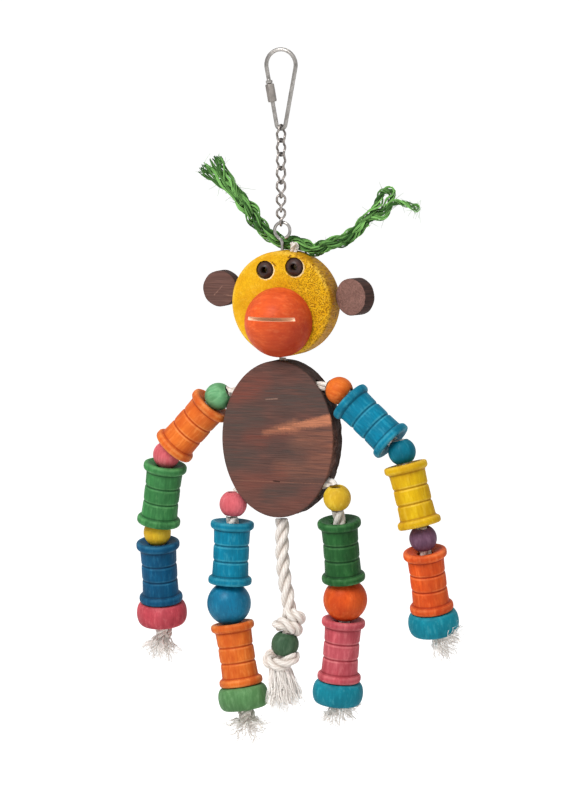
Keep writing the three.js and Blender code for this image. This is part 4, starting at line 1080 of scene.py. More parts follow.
# %% Torso
TORSO = np.array([HANG_X, 0, -229.02])
TORSO_HALF_WIDTH = 35
TORSO_HALF_HEIGHT = 46.6
TORSO_HALF = 8.75
HIP_TURNS = np.array([(-27.0, -2, -261.2), (33.1, -3, -254.0)])
TAIL_HOLE = 4.5
NECK_HOLE = 2.7


def slab_grid(sides=180):
    """Rings of (half width - inset) cos a and (half height - inset) sin a across the slab. The insets
    follow a broken edge, and the wall between is pulled in by noise that grows to the lower right."""
    angle = 2 * np.pi * np.arange(sides) / sides
    thickness = 2 * TORSO_HALF
    face = np.array([0.999, 0.8, 0.55, 0.3, 0.12, 0.04]) * TORSO_HALF_WIDTH
    edge_inset, edge_drop = np.array([[0.9, 0], [0.42, 0.12], [0.12, 0.42], [0, 0.9]]).T
    wall = np.linspace(0.9, thickness - 0.9, 22)[1:-1]
    inset = np.concatenate([face, edge_inset, 0 * wall, edge_inset[::-1], face[::-1]])
    depth = np.concatenate([0 * face, edge_drop, wall, thickness - edge_drop[::-1], 0 * face + thickness])
    x = (TORSO_HALF_WIDTH - inset[:, None]) * np.cos(angle)
    scale = np.clip(TORSO_HALF_HEIGHT - inset * TORSO_HALF_HEIGHT / TORSO_HALF_WIDTH, 0.04, None)
    scale = np.where(inset < 1, TORSO_HALF_HEIGHT - inset, scale)
    z = scale[:, None] * np.sin(angle)
    y = TORSO_HALF - depth[:, None] + 0 * angle
    on_wall = (inset < 0.05) & (depth > 1.2) & (depth < thickness - 1.2)
    at_back = (inset < 1) & (depth < 1.2)
    amount = (1.0 * on_wall + 0.4 * at_back)[:, None]
    share = np.clip(0.5 + 0.6 * np.cos(angle + math.radians(35)), 0.12, 1)
    rough = np.random.default_rng(5).normal(size=(len(inset), sides))
    for axis in (0, 1):
        rough = (np.roll(rough, 1, axis) + rough + np.roll(rough, -1, axis)) / 3
    ripple = 0.28 * np.sin(23 * angle + 2 * np.sin(3 * angle)) + 0.2 * np.sin(51 * angle + 0.5 * y)
    pull = amount * (share * (0.45 + 1.1 * rough + ripple)).clip(0, 1.4)
    grid = np.stack([x, y, z], axis=-1) * (1 - pull / 38)[..., None] ** np.array([1, 0, 1])
    return grid + TORSO, inset[:, None] + 0 * angle, depth[:, None] + 0 * angle


slab, inset, depth = slab_grid()
torso_mesh = mesh_of("torso_wood", Shell().add(slab))
shoulder_ends = []
for side, sign in (("left", -1), ("right", 1)):
    middle = np.array(joints[f"{side}_shoulder_flex"]["pos_m"]) / MM
    shoulder_ends.append(middle + np.array([-5 * sign, 0, 2.8]))
shoulder_run = unit(shoulder_ends[1] - shoulder_ends[0])
hip_run = unit(HIP_TURNS[1] - HIP_TURNS[0])
tools = [
    rod_tool(shoulder_ends[0] - 4 * shoulder_run, shoulder_ends[0] + 14 * shoulder_run, BORE),
    rod_tool(shoulder_ends[1] - 14 * shoulder_run, shoulder_ends[1] + 4 * shoulder_run, BORE),
    rod_tool(HIP_TURNS[0] - 12 * hip_run, HIP_TURNS[0] + 14 * hip_run, BORE),
    rod_tool(HIP_TURNS[1] - 14 * hip_run, HIP_TURNS[1] + 12 * hip_run, BORE),
    rod_tool((HANG_X, 0, -279), (HANG_X, 0, -268), TAIL_HOLE),
    rod_tool((HANG_X, 0, -190), (HANG_X, 0, -179), NECK_HOLE),
]
torso_mesh = cut(torso_mesh, *tools)
points = points_of(torso_mesh)
inner = np.abs(points[:, 1]) < TORSO_HALF - 0.5
add_attribute(torso_mesh, "own", "FLOAT_VECTOR", ((points - TORSO) * MM)[:, [1, 2, 0]])
# The wall gets a low value, so the sawn wood paints it dark as painted shade.
add_attribute(torso_mesh, "shade_and_wear", "FLOAT", np.where(inner, 0.05, 0.5))

values = {
    "Light": linear(110, 72, 63),
    "Middle": linear(97, 69, 62),
    "Dark": linear(82, 68, 63),
    "Grain": linear(60, 46, 43),
    "Side": linear(58, 41, 37),
    "Stain": 0.5,
}
dark_slab, tree, shader, parts = start_material("dark_slab", sawn_wood, values)
front = -TORSO_HALF
grain = put(tree, "ShaderNodeAttribute", attribute_name="own").outputs["Vector"]
lines = ramp(tree, noise(tree, grain, (900, 900, 50), 4.0, 0.65), 0.36, 0.6, 0.15, 1.0)
for start, end, widths, colour, share in (
    ((-24, -203), (-8, -197), (3, 3), (122, 68, 57), 0.8),
    ((-14, -227), (2, -229), (4, 3), (114, 64, 54), 0.7),
    ((4, -246), (34, -243), (3, 6), (126, 83, 68), 0.75),
    ((-18, -256), (2, -251), (3, 3), (114, 68, 58), 0.7),
    ((6, -267), (22, -262), (2, 2), (114, 68, 58), 0.6),
    ((-4, -203), (27, -203), (3, 6.5), (76, 66, 62), 0.85),
    ((-33, -219), (-14, -217), (6, 5), (76, 67, 62), 0.75),
    ((0, -234), (14, -236), (3, 4), (74, 63, 59), 0.8),
    ((-30, -240), (-16, -243), (5, 3), (76, 66, 61), 0.7),
    ((-4, -262), (10, -259), (2.5, 2), (76, 65, 60), 0.7),
):
    ends = [(x, front, z) for x, z in (start, end)]
    patch = sum_of(tree, mark(tree, *ends, *widths, 5.5, 5), share, "MULTIPLY")
    patch = sum_of(tree, patch, lines, "MULTIPLY")
    parts["Color"] = blend_colour(tree, patch, parts["Color"], linear(*colour))
pale_end = mark(tree, (2, front, -222.9), (37, front, -215.8), 0.1, 2.3, 2.0, 2.8)
tip = mark(tree, (-7, front, -225.2), (12, front, -220.7), 0.0, 2.2, 2.6, 3.2)
wedge = sum_of(tree, pale_end, sum_of(tree, tip, 0.5, "MULTIPLY"), "MAXIMUM")
wedge = sum_of(tree, wedge, ramp(tree, lines, 0.15, 1, 0.4, 1), "MULTIPLY")
parts["Color"] = blend_colour(tree, wedge, parts["Color"], linear(200, 128, 94))
glow = mark(tree, (14, front, -229), (38, front, -228), 0.5, 4.5, 9.0, 3.0)
glow = sum_of(tree, sum_of(tree, glow, lines, "MULTIPLY"), 0.5, "MULTIPLY")
parts["Color"] = blend_colour(tree, glow, parts["Color"], linear(156, 98, 76))
for start, end, width, colour, sink_by in (
    ((-6.4, front, -205.5), (0.8, front, -204.9), 0.03, (150, 118, 104), 0.1),
    ((-26, front, -254.1), (31, front, -254.6), 0.02, (126, 84, 70), 0.3),
    ((-1.6, front, -253.9), (2.2, front, -254.2), 0.12, (52, 34, 30), 0.9),
):
    line = mark(tree, start, end, width, width, 0.35, 0.5)
    parts["Color"] = blend_colour(tree, line, parts["Color"], linear(*colour))
    parts["Height"] = sum_of(tree, parts["Height"], sum_of(tree, line, sink_by, "MULTIPLY"), "SUBTRACT")
end_material(tree, shader, parts, 0.00022)
dress(torso_mesh, dark_slab, "torso", smooth_angle=30)
print("torso done")

# %% [markdown]
# ## Quick link, chain and screw eye
# The hanger is bent steel wire: a pear-shaped quick link with a hexagonal nut on its open leg, seven small
# links that each turn by a quarter between their two bows, and a screw eye in the head. Wire is a tube
# along a path of arcs and straight legs. Steel is not one grey: it is brushed along the wire, duller where
# it was bent, and dark with wear where the links rub on each other.

# %% Steel
steel, source, sink = new_group(
    "drawn_steel",
    [
        ("Bright", "NodeSocketColor", (0.6, 0.6, 0.58, 1)),
        ("Dull", "NodeSocketColor", (0.3, 0.29, 0.28, 1)),
        ("Polish", "NodeSocketFloat", 0.2),
    ],
    [("Color", "NodeSocketColor"), ("Roughness", "NodeSocketFloat"), ("Height", "NodeSocketFloat")],
)
own = put(steel, "ShaderNodeAttribute", attribute_name="own").outputs["Vector"]
shade_and_wear = put(steel, "ShaderNodeAttribute", attribute_name="shade_and_wear").outputs["Fac"]
brushed = ramp(steel, noise(steel, own, (5200, 5200, 420), 3.0), 0.35, 0.65)
cloud = ramp(steel, noise(steel, own, (380, 380, 260), 3.0), 0.38, 0.66)
dull = sum_of(steel, cloud, ramp(steel, brushed, 0, 1, 0.3, 0.8), "MULTIPLY")
rubbed = ramp(steel, shade_and_wear, 0.45, 0.05)
shade = blend_colour(steel, dull, source.outputs["Bright"], source.outputs["Dull"])
shade = blend_colour(steel, ramp(steel, rubbed, 0, 1, 0, 0.8), shade, (0.05, 0.045, 0.04, 1))
grain = ramp(steel, brushed, 0, 1, 0, 0.16)
rough = sum_of(steel, sum_of(steel, source.outputs["Polish"], grain), ramp(steel, rubbed, 0, 1, 0, 0.3))
steel.links.new(shade, sink.inputs["Color"])
steel.links.new(rough, sink.inputs["Roughness"])
steel.links.new(brushed, sink.inputs["Height"])


def steel_finish(name, bright, dull_tone, polish):
    """A steel: its bright and its dull tone, and how rough it is where it is bright."""
    values = {"Bright": linear(*bright), "Dull": linear(*dull_tone), "Polish": polish}
    material, tree, shader, parts = start_material(name, steel, values)
    end_material(tree, shader, parts, 0.00003)
    shader.inputs["Metallic"].default_value = 1.0
    return material


link_steel = steel_finish("link_steel", (162, 158, 154), (78, 75, 72), 0.18)
nut_steel = steel_finish("nut_steel", (142, 136, 131), (98, 92, 88), 0.4)
chain_steel = steel_finish("chain_steel", (150, 143, 138), (80, 75, 71), 0.22)

# %% Quick link
LINK_WIRE = 1.25
TOP_RADIUS = 9.2
BOTTOM_RADIUS = 2.8
LINK_HEIGHT = 49.3
COLLAR_START = 7.6
COLLAR_LENGTH = 1.8
LINK_STUB = 2.6
LINK_OPENING = 5.4
SLEEVE_LENGTH = 10.8
NUT_FLATS = 4.8
NUT_BORE = 1.6
link_top = np.array([0, 0, LINK_WIRE - TOP_RADIUS])
link_bottom = np.array([0, 0, 3 * LINK_WIRE - LINK_HEIGHT + BOTTOM_RADIUS])
reach = link_top[2] - link_bottom[2]
leg_angle = math.asin((TOP_RADIUS - BOTTOM_RADIUS) / reach)
leg_start = link_top - TOP_RADIUS * np.array([math.cos(leg_angle), 0, math.sin(leg_angle)])
leg_down = np.array([math.sin(leg_angle), 0, -math.cos(leg_angle)])


def bow(middle, radius, start, end, count):
    """An arc in the picture plane: middle + radius (cos a, 0, sin a)."""
    angle = np.linspace(start, end, count)[:, None]
    return middle + radius * np.concatenate([np.cos(angle), 0 * angle, np.sin(angle)], axis=1)


def even(path, spacing, closed=False):
    """The same path with points at an even spacing."""
    path = np.concatenate([path, path[:1]]) if closed else path
    along = length_along(path)
    count = int(round(along[-1] / spacing))
    at = np.linspace(0, along[-1], count, endpoint=not closed)
    return np.stack([np.interp(at, along, path[:, axis]) for axis in range(3)], axis=-1)


stub_end = COLLAR_START + COLLAR_LENGTH + LINK_STUB
wire_path = np.concatenate(
    [
        (leg_start + (stub_end + LINK_OPENING) * leg_down)[None],
        bow(link_bottom, BOTTOM_RADIUS, leg_angle - math.pi, -leg_angle, 40),
        bow(link_top, TOP_RADIUS, -leg_angle, math.pi + leg_angle, 120),
        (leg_start + stub_end * leg_down)[None],
    ]
)
wire_path = even(wire_path, 0.3)
from_end = length_along(wire_path)[-1] - length_along(wire_path)
radius = np.full(len(wire_path), LINK_WIRE)
collar = np.clip((COLLAR_LENGTH / 2 + 0.15 - np.abs(from_end - LINK_STUB - COLLAR_LENGTH / 2)) / 0.3, 0, 1)
radius += collar * 0.85
thread = from_end < LINK_STUB - 0.2
radius -= np.where(thread, 0.12 * (1 + np.sin(from_end * 2 * math.pi / 0.9)), 0)
rub = np.exp(-(((wire_path[:, 2] - wire_path[:, 2].min()) / 1.2) ** 2))
shade_and_wear = np.clip(0.5 - 0.3 * rub - 0.2 * thread, 0, 1)
grid, own_grid = tube(wire_path, radius, 24)
shell = Shell().add(grid, own_grid, shade_and_wear[:, None])
dress(mesh_of("pear_wire", shell), link_steel, "pear_link", smooth_angle=50)


def nut_grid(flats, bore, length, sides=72):
    """A hexagonal nut: the outer rows are at flats / 2 / cos of the angle from the nearest flat, held in at
    the corners, and the ends are chamfered. The inner rows are round."""
    angle = 2 * np.pi * np.arange(sides) / sides
    from_flat = (angle + np.pi / 6) % (np.pi / 3) - np.pi / 6
    hexagon = np.minimum(1 / np.cos(from_flat), 1.125)[None, :]
    half = flats / 2
    rows = [
        (bore, 0.15, 0),
        (bore + 0.15, 0, 0),
        (half * 0.9, 0, 0),
        (half * 0.97, 0.22, 0.6),
        (half, 0.6, 1),
        (half, length / 2, 1),
    ]
    rows += [(radius, length - height, share) for radius, height, share in reversed(rows[:-1])]
    radius, height, share = (np.array(column)[:, None] for column in zip(*rows))
    spread = radius * (1 + share * (hexagon - 1))
    return np.stack([spread * np.cos(angle), spread * np.sin(angle), height + 0 * angle], axis=-1)


nut = nut_grid(NUT_FLATS, NUT_BORE, SLEEVE_LENGTH)
nut_foot = leg_start + (COLLAR_START + COLLAR_LENGTH + TOUCH) * leg_down
nut_place = place(nut_foot, leg_down)
shell = Shell().add(put_at(nut, nut_place), nut, 0.5, join_rows=True)
dress(mesh_of("hexagonal_nut", shell), nut_steel, "link_sleeve", smooth_angle=20)

# %% Chain
CHAIN_WIRE = 0.65
ZINC = 0.08
CHAIN_WIDTH = 6.2
CHAIN_PITCH = 8.26
CHAIN_COUNT = 7
FIRST_HOOK = link_bottom[2] - BOTTOM_RADIUS + LINK_WIRE + TOUCH / 2


def chain_path():
    """A long loop of two bows and two legs, each point turned about Z by 45 degrees times the sine of a
    quarter turn's share of its height, so that one bow ends crosswise to the other."""
    half = (CHAIN_PITCH + TOUCH) / 2 + CHAIN_WIRE
    radius = CHAIN_WIDTH / 2 - CHAIN_WIRE
    straight = half - radius
    outline = np.concatenate(
        [
            bow(np.array([0, 0, straight]), radius, 0, math.pi, 40),
            bow(np.array([0, 0, -straight]), radius, math.pi, 2 * math.pi, 40),
        ]
    )
    outline = even(outline, 0.22, closed=True)
    turn = math.pi / 4 * np.sin(np.clip(outline[:, 2] / straight, -1, 1) * math.pi / 2)
    x, z = outline[:, 0], outline[:, 2]
    return np.stack([x * np.cos(turn), x * np.sin(turn), z], axis=-1)


loop = chain_path()
for number in range(1, CHAIN_COUNT + 1):
    turn = math.radians(90 - 90 / (CHAIN_COUNT + 1) * number - 45)
    across = np.array([[math.cos(turn), math.sin(turn), 0], [-math.sin(turn), math.cos(turn), 0], [0, 0, 1]])
    middle = np.array([0, 0, FIRST_HOOK - (number - 1) * CHAIN_PITCH - CHAIN_PITCH / 2])
    path = loop @ across + middle
    grid, own_grid = tube(path, CHAIN_WIRE + ZINC, 16, middle - path, closed=True)
    end = np.abs(loop[:, 2]) / np.abs(loop[:, 2]).max()
    shade_and_wear = np.clip(0.5 - 0.4 * np.clip(end - 0.86, 0, 1) / 0.14, 0, 1)
    shell = Shell().add(grid, own_grid + [0, 0, 3.0 * number], shade_and_wear[:, None], join_rows=True)
    dress(mesh_of(f"chain_wire_{number}", shell), chain_steel, f"chain_link_{number}", smooth_angle=60)

# %% Screw eye
EYE_WIRE = 0.95
EYE_RADIUS = 4.8
SHANK_LENGTH = 18
EYE_START = math.radians(230)
eye_hook = FIRST_HOOK - CHAIN_COUNT * CHAIN_PITCH
eye_middle = np.array([HANG_X, 0, eye_hook + TOUCH / 2 + EYE_WIRE - EYE_RADIUS])
shank_top = eye_middle[2] - EYE_RADIUS - EYE_WIRE
bend = smooth_path(
    [
        (HANG_X, 0, shank_top - 3.4),
        (0.75, 0, shank_top - 1.6),
        (0.2, 0, shank_top - 0.2),
        (-1.2, 0, shank_top + 1.0),
        bow(eye_middle, EYE_RADIUS, EYE_START + math.radians(2), EYE_START, 2)[0],
    ],
    24,
)
ring_path = bow(eye_middle, EYE_RADIUS, EYE_START, math.radians(-68), 90)
eye_path = even(np.concatenate([[(HANG_X, 0, shank_top - SHANK_LENGTH)], bend, ring_path]), 0.25)
along = length_along(eye_path)
radius = np.clip(EYE_WIRE * np.minimum(1, 0.25 + along / 2.5), 0, EYE_WIRE)
radius = radius - np.where((along > 1) & (along < 10), 0.12 * (1 + np.sin(along * 2 * math.pi / 1.1)), 0)
at_hook = np.linalg.norm(eye_path - eye_middle - [0, 0, EYE_RADIUS], axis=1)
shade_and_wear = np.clip(0.5 - 0.3 * np.exp(-((at_hook / 1.5) ** 2)), 0, 1)
grid, own_grid = tube(eye_path, radius, 20)
shell = Shell().add(grid, own_grid, shade_and_wear[:, None])
dress(mesh_of("eye_wire", shell), link_steel, "screw_eye", smooth_angle=50)
print("hook of the screw eye at", round(float(eye_hook), 2), "mm")

# %% [markdown]
# ## Cotton rope
# One soft white rope runs through the whole figure. It is laid from three strands, and each strand from
# fine yarns twisted the other way, which is why the yarns seem to run straight down the rope. Three tubes
# that wind round the path give the strands, the shader draws the yarns on them, and a little fuzz of loose
# fibre breaks up the outline. A plain tube would look like a pipe.

# %% Yarn
yarn, source, sink = new_group(
    "yarn",
    [
        ("Light", "NodeSocketColor", (0.8, 0.7, 0.6, 1)),
        ("Dark", "NodeSocketColor", (0.3, 0.25, 0.2, 1)),
        ("Yarns", "NodeSocketFloat", 7.0),
        ("Lay", "NodeSocketFloat", 0.031),
        ("Fibre", "NodeSocketFloat", 0.5),
    ],
    [("Color", "NodeSocketColor"), ("Roughness", "NodeSocketFloat"), ("Height", "NodeSocketFloat")],
)
own = put(yarn, "ShaderNodeAttribute", attribute_name="own").outputs["Vector"]
shade_and_wear = put(yarn, "ShaderNodeAttribute", attribute_name="shade_and_wear").outputs["Fac"]
flat = put(yarn, "ShaderNodeSeparateXYZ", {0: own})
angle = sum_of(yarn, flat.outputs["Y"], flat.outputs["X"], "ARCTAN2")
turns = sum_of(yarn, angle, 2 * math.pi, "DIVIDE")
turns = sum_of(yarn, turns, sum_of(yarn, flat.outputs["Z"], source.outputs["Lay"], "DIVIDE"))
fray = noise(yarn, own, (2200, 2200, 500), 3.0)
stripe = sum_of(yarn, turns, source.outputs["Yarns"], "MULTIPLY")
stripe = sum_of(yarn, stripe, ramp(yarn, fray, 0.3, 0.7, -0.2, 0.2))
wave = put(yarn, "ShaderNodeMath", {0: sum_of(yarn, stripe, 2 * math.pi, "MULTIPLY")}, operation="SINE")
ridge = ramp(yarn, wave.outputs[0], -1.0, 0.4)
fluff = ramp(yarn, noise(yarn, own, (5200, 5200, 900), 4.0, 0.65), 0.32, 0.68)
# Painted shade: the gaps between the yarns, and the creases where strands press on each other, are mixed
# towards the dark colour.
shade = sum_of(yarn, ramp(yarn, ridge, 0, 1, 0.62, 1.0), ramp(yarn, fluff, 0, 1, 0.72, 1.0), "MULTIPLY")
shade = sum_of(yarn, shade, ramp(yarn, shade_and_wear, 0.0, 0.5, 0.1, 1.0), "MULTIPLY")
soiled = ramp(yarn, noise(yarn, own, (160, 160, 60), 2.0), 0.4, 0.7, 0, 0.14)
colour = blend_colour(yarn, shade, source.outputs["Dark"], source.outputs["Light"])
colour = blend_colour(yarn, soiled, colour, source.outputs["Dark"])
yarn.links.new(colour, sink.inputs["Color"])
yarn.links.new(ramp(yarn, fluff, 0, 1, 0.82, 0.98), sink.inputs["Roughness"])
tuft = sum_of(yarn, fluff, source.outputs["Fibre"], "MULTIPLY")
yarn.links.new(sum_of(yarn, ridge, tuft), sink.inputs["Height"])


def fibre_finish(name, light, dark, yarns, lay, fibre, relief, sheen=0.25):
    """A rope fibre: the colour of its ridges and of its gaps, and how its yarns lie. The gap colour is
    painted shade between the yarns and in the creases between strands, and it also tints the dirt.
    """
    values = {"Light": linear(*light), "Dark": linear(*dark), "Yarns": yarns, "Lay": lay, "Fibre": fibre}
    material, tree, shader, parts = start_material(name, yarn, values)
    end_material(tree, shader, parts, relief)
    shader.inputs["Sheen Weight"].default_value = sheen
    shader.inputs["Sheen Roughness"].default_value = 0.5
    return material


cotton = fibre_finish("cotton", (253, 247, 240), (186, 168, 154), 7.0, 0.031, 0.6, 0.00014)
loose_cotton = fibre_finish("loose_cotton", (255, 252, 248), (222, 211, 201), 2.0, 0.2, 0.5, 0.00004, 0.4)

# %% Strands and fuzz
ROPE_LAY = 31
ROPE_GAP = 0.35
# How far the fibre pattern moves from one strand to the next.
STRAND_SHIFT = 97.0
# A direction that hardly any loose fibre runs along, to measure its sides from.
LOOSE_SIDE = (0.31, 0.87, 0.38)


def strands(path, radius, lay=ROPE_LAY, count=3, columns=16, reference=(0, 1, 0), closed=False):
    """Tubes of half the rope's radius whose paths wind round it: path + r/2 (cos w N + sin w B), where w
    grows by a turn for each lay and a third of a turn for each strand. Returns all of them at once."""
    normal, across = side_axes(path, reference, closed)
    along = length_along(path)
    turns = along / lay
    if closed:
        whole = along[-1] + np.linalg.norm(path[-1] - path[0])
        turns = along / whole * max(1, round(whole / lay))
    wind = 2 * np.pi * (turns + np.arange(count)[:, None] / count)
    radius = np.broadcast_to(radius, along.shape)
    offset = np.cos(wind)[..., None] * normal + np.sin(wind)[..., None] * across
    paths = path + 0.5 * radius[:, None] * offset
    normal, across = np.broadcast_to(normal, paths.shape), np.broadcast_to(across, paths.shape)
    angle = 2 * np.pi * np.arange(columns) / columns
    circle = np.cos(angle)[:, None] * normal[..., None, :] + np.sin(angle)[:, None] * across[..., None, :]
    size = (0.52 * radius)[:, None]
    grid = paths[..., None, :] + size[..., None] * circle
    round_strand = np.stack([np.cos(angle), np.sin(angle)], axis=-1) * size[..., None]
    number = STRAND_SHIFT * np.arange(count)[:, None, None] + along[:, None] + 0 * angle
    own = np.concatenate([np.broadcast_to(round_strand, (*number.shape, 2)), number[..., None]], axis=-1)
    inner = np.cos(angle - wind[..., None])
    # The side of each strand that faces the rope's middle gets a low value, which the yarn material paints as
    # crease shade.
    return grid, own, np.clip(0.32 + 0.3 * inner, 0, 0.5)


def fibres(starts, directions, bends, radius, rows=7):
    """Thin three-sided fibres: start + t d + t^2 b, which is a throw in the direction d that the bend b
    pulls round. Every fibre is one row of each array."""
    t = np.linspace(0, 1, rows)[None, :, None]
    paths = starts[:, None] + t * directions[:, None] + t**2 * bends[:, None]
    taper = np.broadcast_to(radius, (len(starts), 1)) * np.linspace(1, 0.55, rows)
    return tube(paths, taper, 3, LOOSE_SIDE)


def fuzz(rng, path, radius, count, reach=1.3, thickness=0.045, reference=(0, 1, 0), closed=False):
    """Loose fibres that stand a little off a rope, each leaving its surface along the strand."""
    normal, across = side_axes(path, reference, closed)
    tangent = np.cross(normal, across)
    pick = rng.integers(2, len(path) - 3, count)
    angle = rng.uniform(0, 2 * np.pi, (count, 1))
    out = np.cos(angle) * normal[pick] + np.sin(angle) * across[pick]
    side = np.cos(angle) * across[pick] - np.sin(angle) * normal[pick]
    length = rng.uniform(0.5, 1.0, (count, 1)) * reach
    sideways = rng.uniform(-1, 1, (count, 1)) * side
    onwards = rng.uniform(-1, 1, (count, 1)) * tangent[pick]
    throw = length * (0.8 * out + sideways + onwards)
    bend = length * (rng.normal(0, 0.5, (count, 3)) - 0.3 * out)
    return fibres(path[pick] + 0.9 * radius * out, throw, bend, thickness)


def clear_of(points, middle, radius):
    """Pushes points that lie in a ball out to its surface, so that a rope ends hugging its bead."""
    away = points - middle
    distance = np.linalg.norm(away, axis=-1, keepdims=True)
    return np.where(distance < radius, middle + away * radius / np.maximum(distance, 1e-6), points)


def rope_shell(path, radius, beads=(), shell=None, seed=1, fluffy=0, **settings):
    """A laid rope as a shell, kept clear of the beads at its ends, with some fuzz."""
    shell = shell or Shell()
    grid, own, shade_and_wear = strands(path, radius, **settings)
    for middle, size in beads:
        grid = clear_of(grid, middle, size + ROPE_GAP)
    shell.add(grid, own, shade_and_wear)
    if fluffy:
        rng = np.random.default_rng(seed)
        loose, flat = fuzz(rng, path, float(np.max(radius)), fluffy)
        shell.add(loose, flat, 0.5)
    return shell


def straight(where, top, bottom, spacing=0.8):
    """A straight path on a place's own Z."""
    origin, axes = where
    count = max(4, int((top - bottom) / spacing))
    return origin + np.linspace(top, bottom, count)[:, None] * axes[2]


# %% [markdown]
# ## Frayed ends
# Below each hand and foot the end of the rope is picked apart into a brush, on the left side below a knot.
# It is drawn as three sizes of tube: yarns that leave the rope in a wide cone and curl, thinner threads that
# part from them, and single fibres that stray beyond. All have the same formula, a throw in a direction with
# a wobble, so one numpy call makes hundreds. Random numbers come from a fixed seed, so every run gives the
# same brush.


# %% Frayed ends
def waves(rng, count, rows, size, turns=1.6):
    """A slow random wobble for each path, none at its start: size t sin(turns t + phase) on three axes."""
    t = np.linspace(0, 1, rows)[None, :, None]
    phase = rng.uniform(0, 2 * np.pi, (count, 1, 3))
    speed = rng.uniform(0.6, 1.4, (count, 1, 3)) * turns * 2 * np.pi
    wobble = np.sin(speed * t + phase) - np.sin(phase)
    return size * np.sqrt(t) * wobble


def under_bun(paths, foot):
    """Lowers what runs into a bun to just below it: z <= h (1 - sqrt(1 - s^(2/r))), where s is the share
    of the way from the bun's flat to its rim, h half its height and r its roundness."""
    local = own_of(paths, foot)
    rim = np.hypot(local[..., 0], local[..., 1])
    share = ((rim - BUN_FLAT) / (BUN_RADIUS - BUN_FLAT)).clip(0, 1)
    limit = BUN_HEIGHT / 2 * (1 - np.sqrt(1 - share ** (2 / BUN_ROUND))) - 0.6
    local[..., 2] = np.where(rim < BUN_RADIUS + 0.3, np.minimum(local[..., 2], limit), local[..., 2])
    return put_at(local, foot)


def brush(rng, neck_at, axis, cone, length, neck=2.4, counts=(26, 60, 70), curl=0.9, foot=None):
    """Yarns, threads and hairs thrown from a neck into a cone round an axis, as a list of (grid, own, wear).
    Each is start + t L d + a slow wobble, where the direction d leans from the axis by a share of the
    cone, the start lies at the same share of the neck, and the throw L is shorter toward the side."""
    origin, axes = place(neck_at, -unit(axis))
    made = []
    rows = 14
    sizes = zip(counts, (0.44, 0.22, 0.09), (curl, 1.3 * curl, 1.8 * curl), (0.88, 1.0, 1.15))
    for count, radius, wander, far in sizes:
        angle = rng.uniform(0, 2 * np.pi, (count, 1))
        share = rng.uniform(0.03, 1, (count, 1)) ** 0.55
        lean = math.radians(cone) * share
        reach = length * far * rng.uniform(0.74, 1.05, (count, 1)) * (1 - 0.16 * share)
        t = np.linspace(0, 1, rows)[None, :]
        out = neck * share + reach * np.sin(lean) * t
        local = np.stack([out * np.cos(angle), out * np.sin(angle), -reach * np.cos(lean) * t], axis=-1)
        paths = (local + waves(rng, count, rows, wander)) @ axes + origin
        paths = paths if foot is None else under_bun(paths, foot)
        thickness = radius * rng.uniform(0.7, 1.15, (count, 1)) * np.linspace(1, 0.75, rows)
        grid, own = tube(paths, thickness, 6 if radius > 0.4 else 3, LOOSE_SIDE)
        made.append((grid, own, rng.uniform(0.3, 0.5, (count, 1, 1))))
    return made


def knot_path(where, size, turn=0.0, count=150):
    """The rope's path in a tied knot, as a trefoil: (sin t + 2 sin 2t, cos t - 2 cos 2t, -sin 3t), scaled
    to the knot's half sizes."""
    origin, axes = where
    t = np.linspace(0, 2 * np.pi, count, endpoint=False) + turn
    shape = np.stack([np.sin(t) + 2 * np.sin(2 * t), np.cos(t) - 2 * np.cos(2 * t), -np.sin(3 * t)], axis=-1)
    shape /= np.array([2.9, 2.9, 1.0])
    return origin + (shape * size) @ axes


def lump_shell(shell, where, size, rope, seed, turn=0.0, columns=12):
    """A knot of laid rope in a place, added to a shell."""
    path = knot_path(where, np.asarray(size, dtype=float) - rope, turn)
    outward = path - where[0] + 0.01
    grid, own, shade_and_wear = strands(path, rope, 14, 3, columns, reference=outward, closed=True)
    shell.add(grid, own, np.clip(shade_and_wear + 0.1, 0, 0.5), join_rows=True)
    rng = np.random.default_rng(seed)
    loose, flat = fuzz(rng, path, rope, 60, 1.2, 0.045, outward, True)
    shell.add(loose, flat, 0.5)


# %% Ropes in the limbs
# For each frayed end: its direction, its cone in degrees, its length, and whether a knot shows above it.
FRAYS = {
    "left_hand": ((-0.1, 0, -1), 50, 17.0, True),
    "right_hand": ((0.86, 0, -0.5), 54, 19.0, False),
    "left_foot": ((0.02, 0, -1), 92, 15.5, True),
    "right_foot": ((0.3, 0, -0.9), 74, 15.0, False),
}
LUMP = (5.8, 5.4, 4.4)
LUMP_ROPE = 2.3


def in_bead(radius):
    """Half the length of the rope inside a drilled bead."""
    return math.sqrt(radius**2 - ROPE**2) - 0.1


def end_rope(node, where, top, foot, fray, seed):
    """The last rope of a limb: through bead, spool and bun, then a knot where one shows, and its brush."""
    axis, cone, length, lump = fray
    bottom = float((foot[0] - where[0]) @ where[1][2]) - TOUCH
    shell = rope_shell(straight(where, top, bottom - 2), ROPE, seed=seed)
    rng = np.random.default_rng(seed)
    if lump:
        knot = lowered(foot, TOUCH + LUMP[2])
        lump_shell(shell, knot, LUMP, LUMP_ROPE, seed, turn=0.5 * seed)
    rope = mesh_of(node + "_strands", shell)
    loose = Shell()
    start = lowered(foot, TOUCH + (6.8 if lump else 0.8))[0]
    for grid, own, shade_and_wear in brush(rng, start, axis, cone, length, foot=foot):
        loose.add(grid, own, shade_and_wear)
    dress(rope, cotton, node, smooth_angle=60)
    dress(mesh_of(node + "_brush", loose), loose_cotton, node, smooth_angle=60)


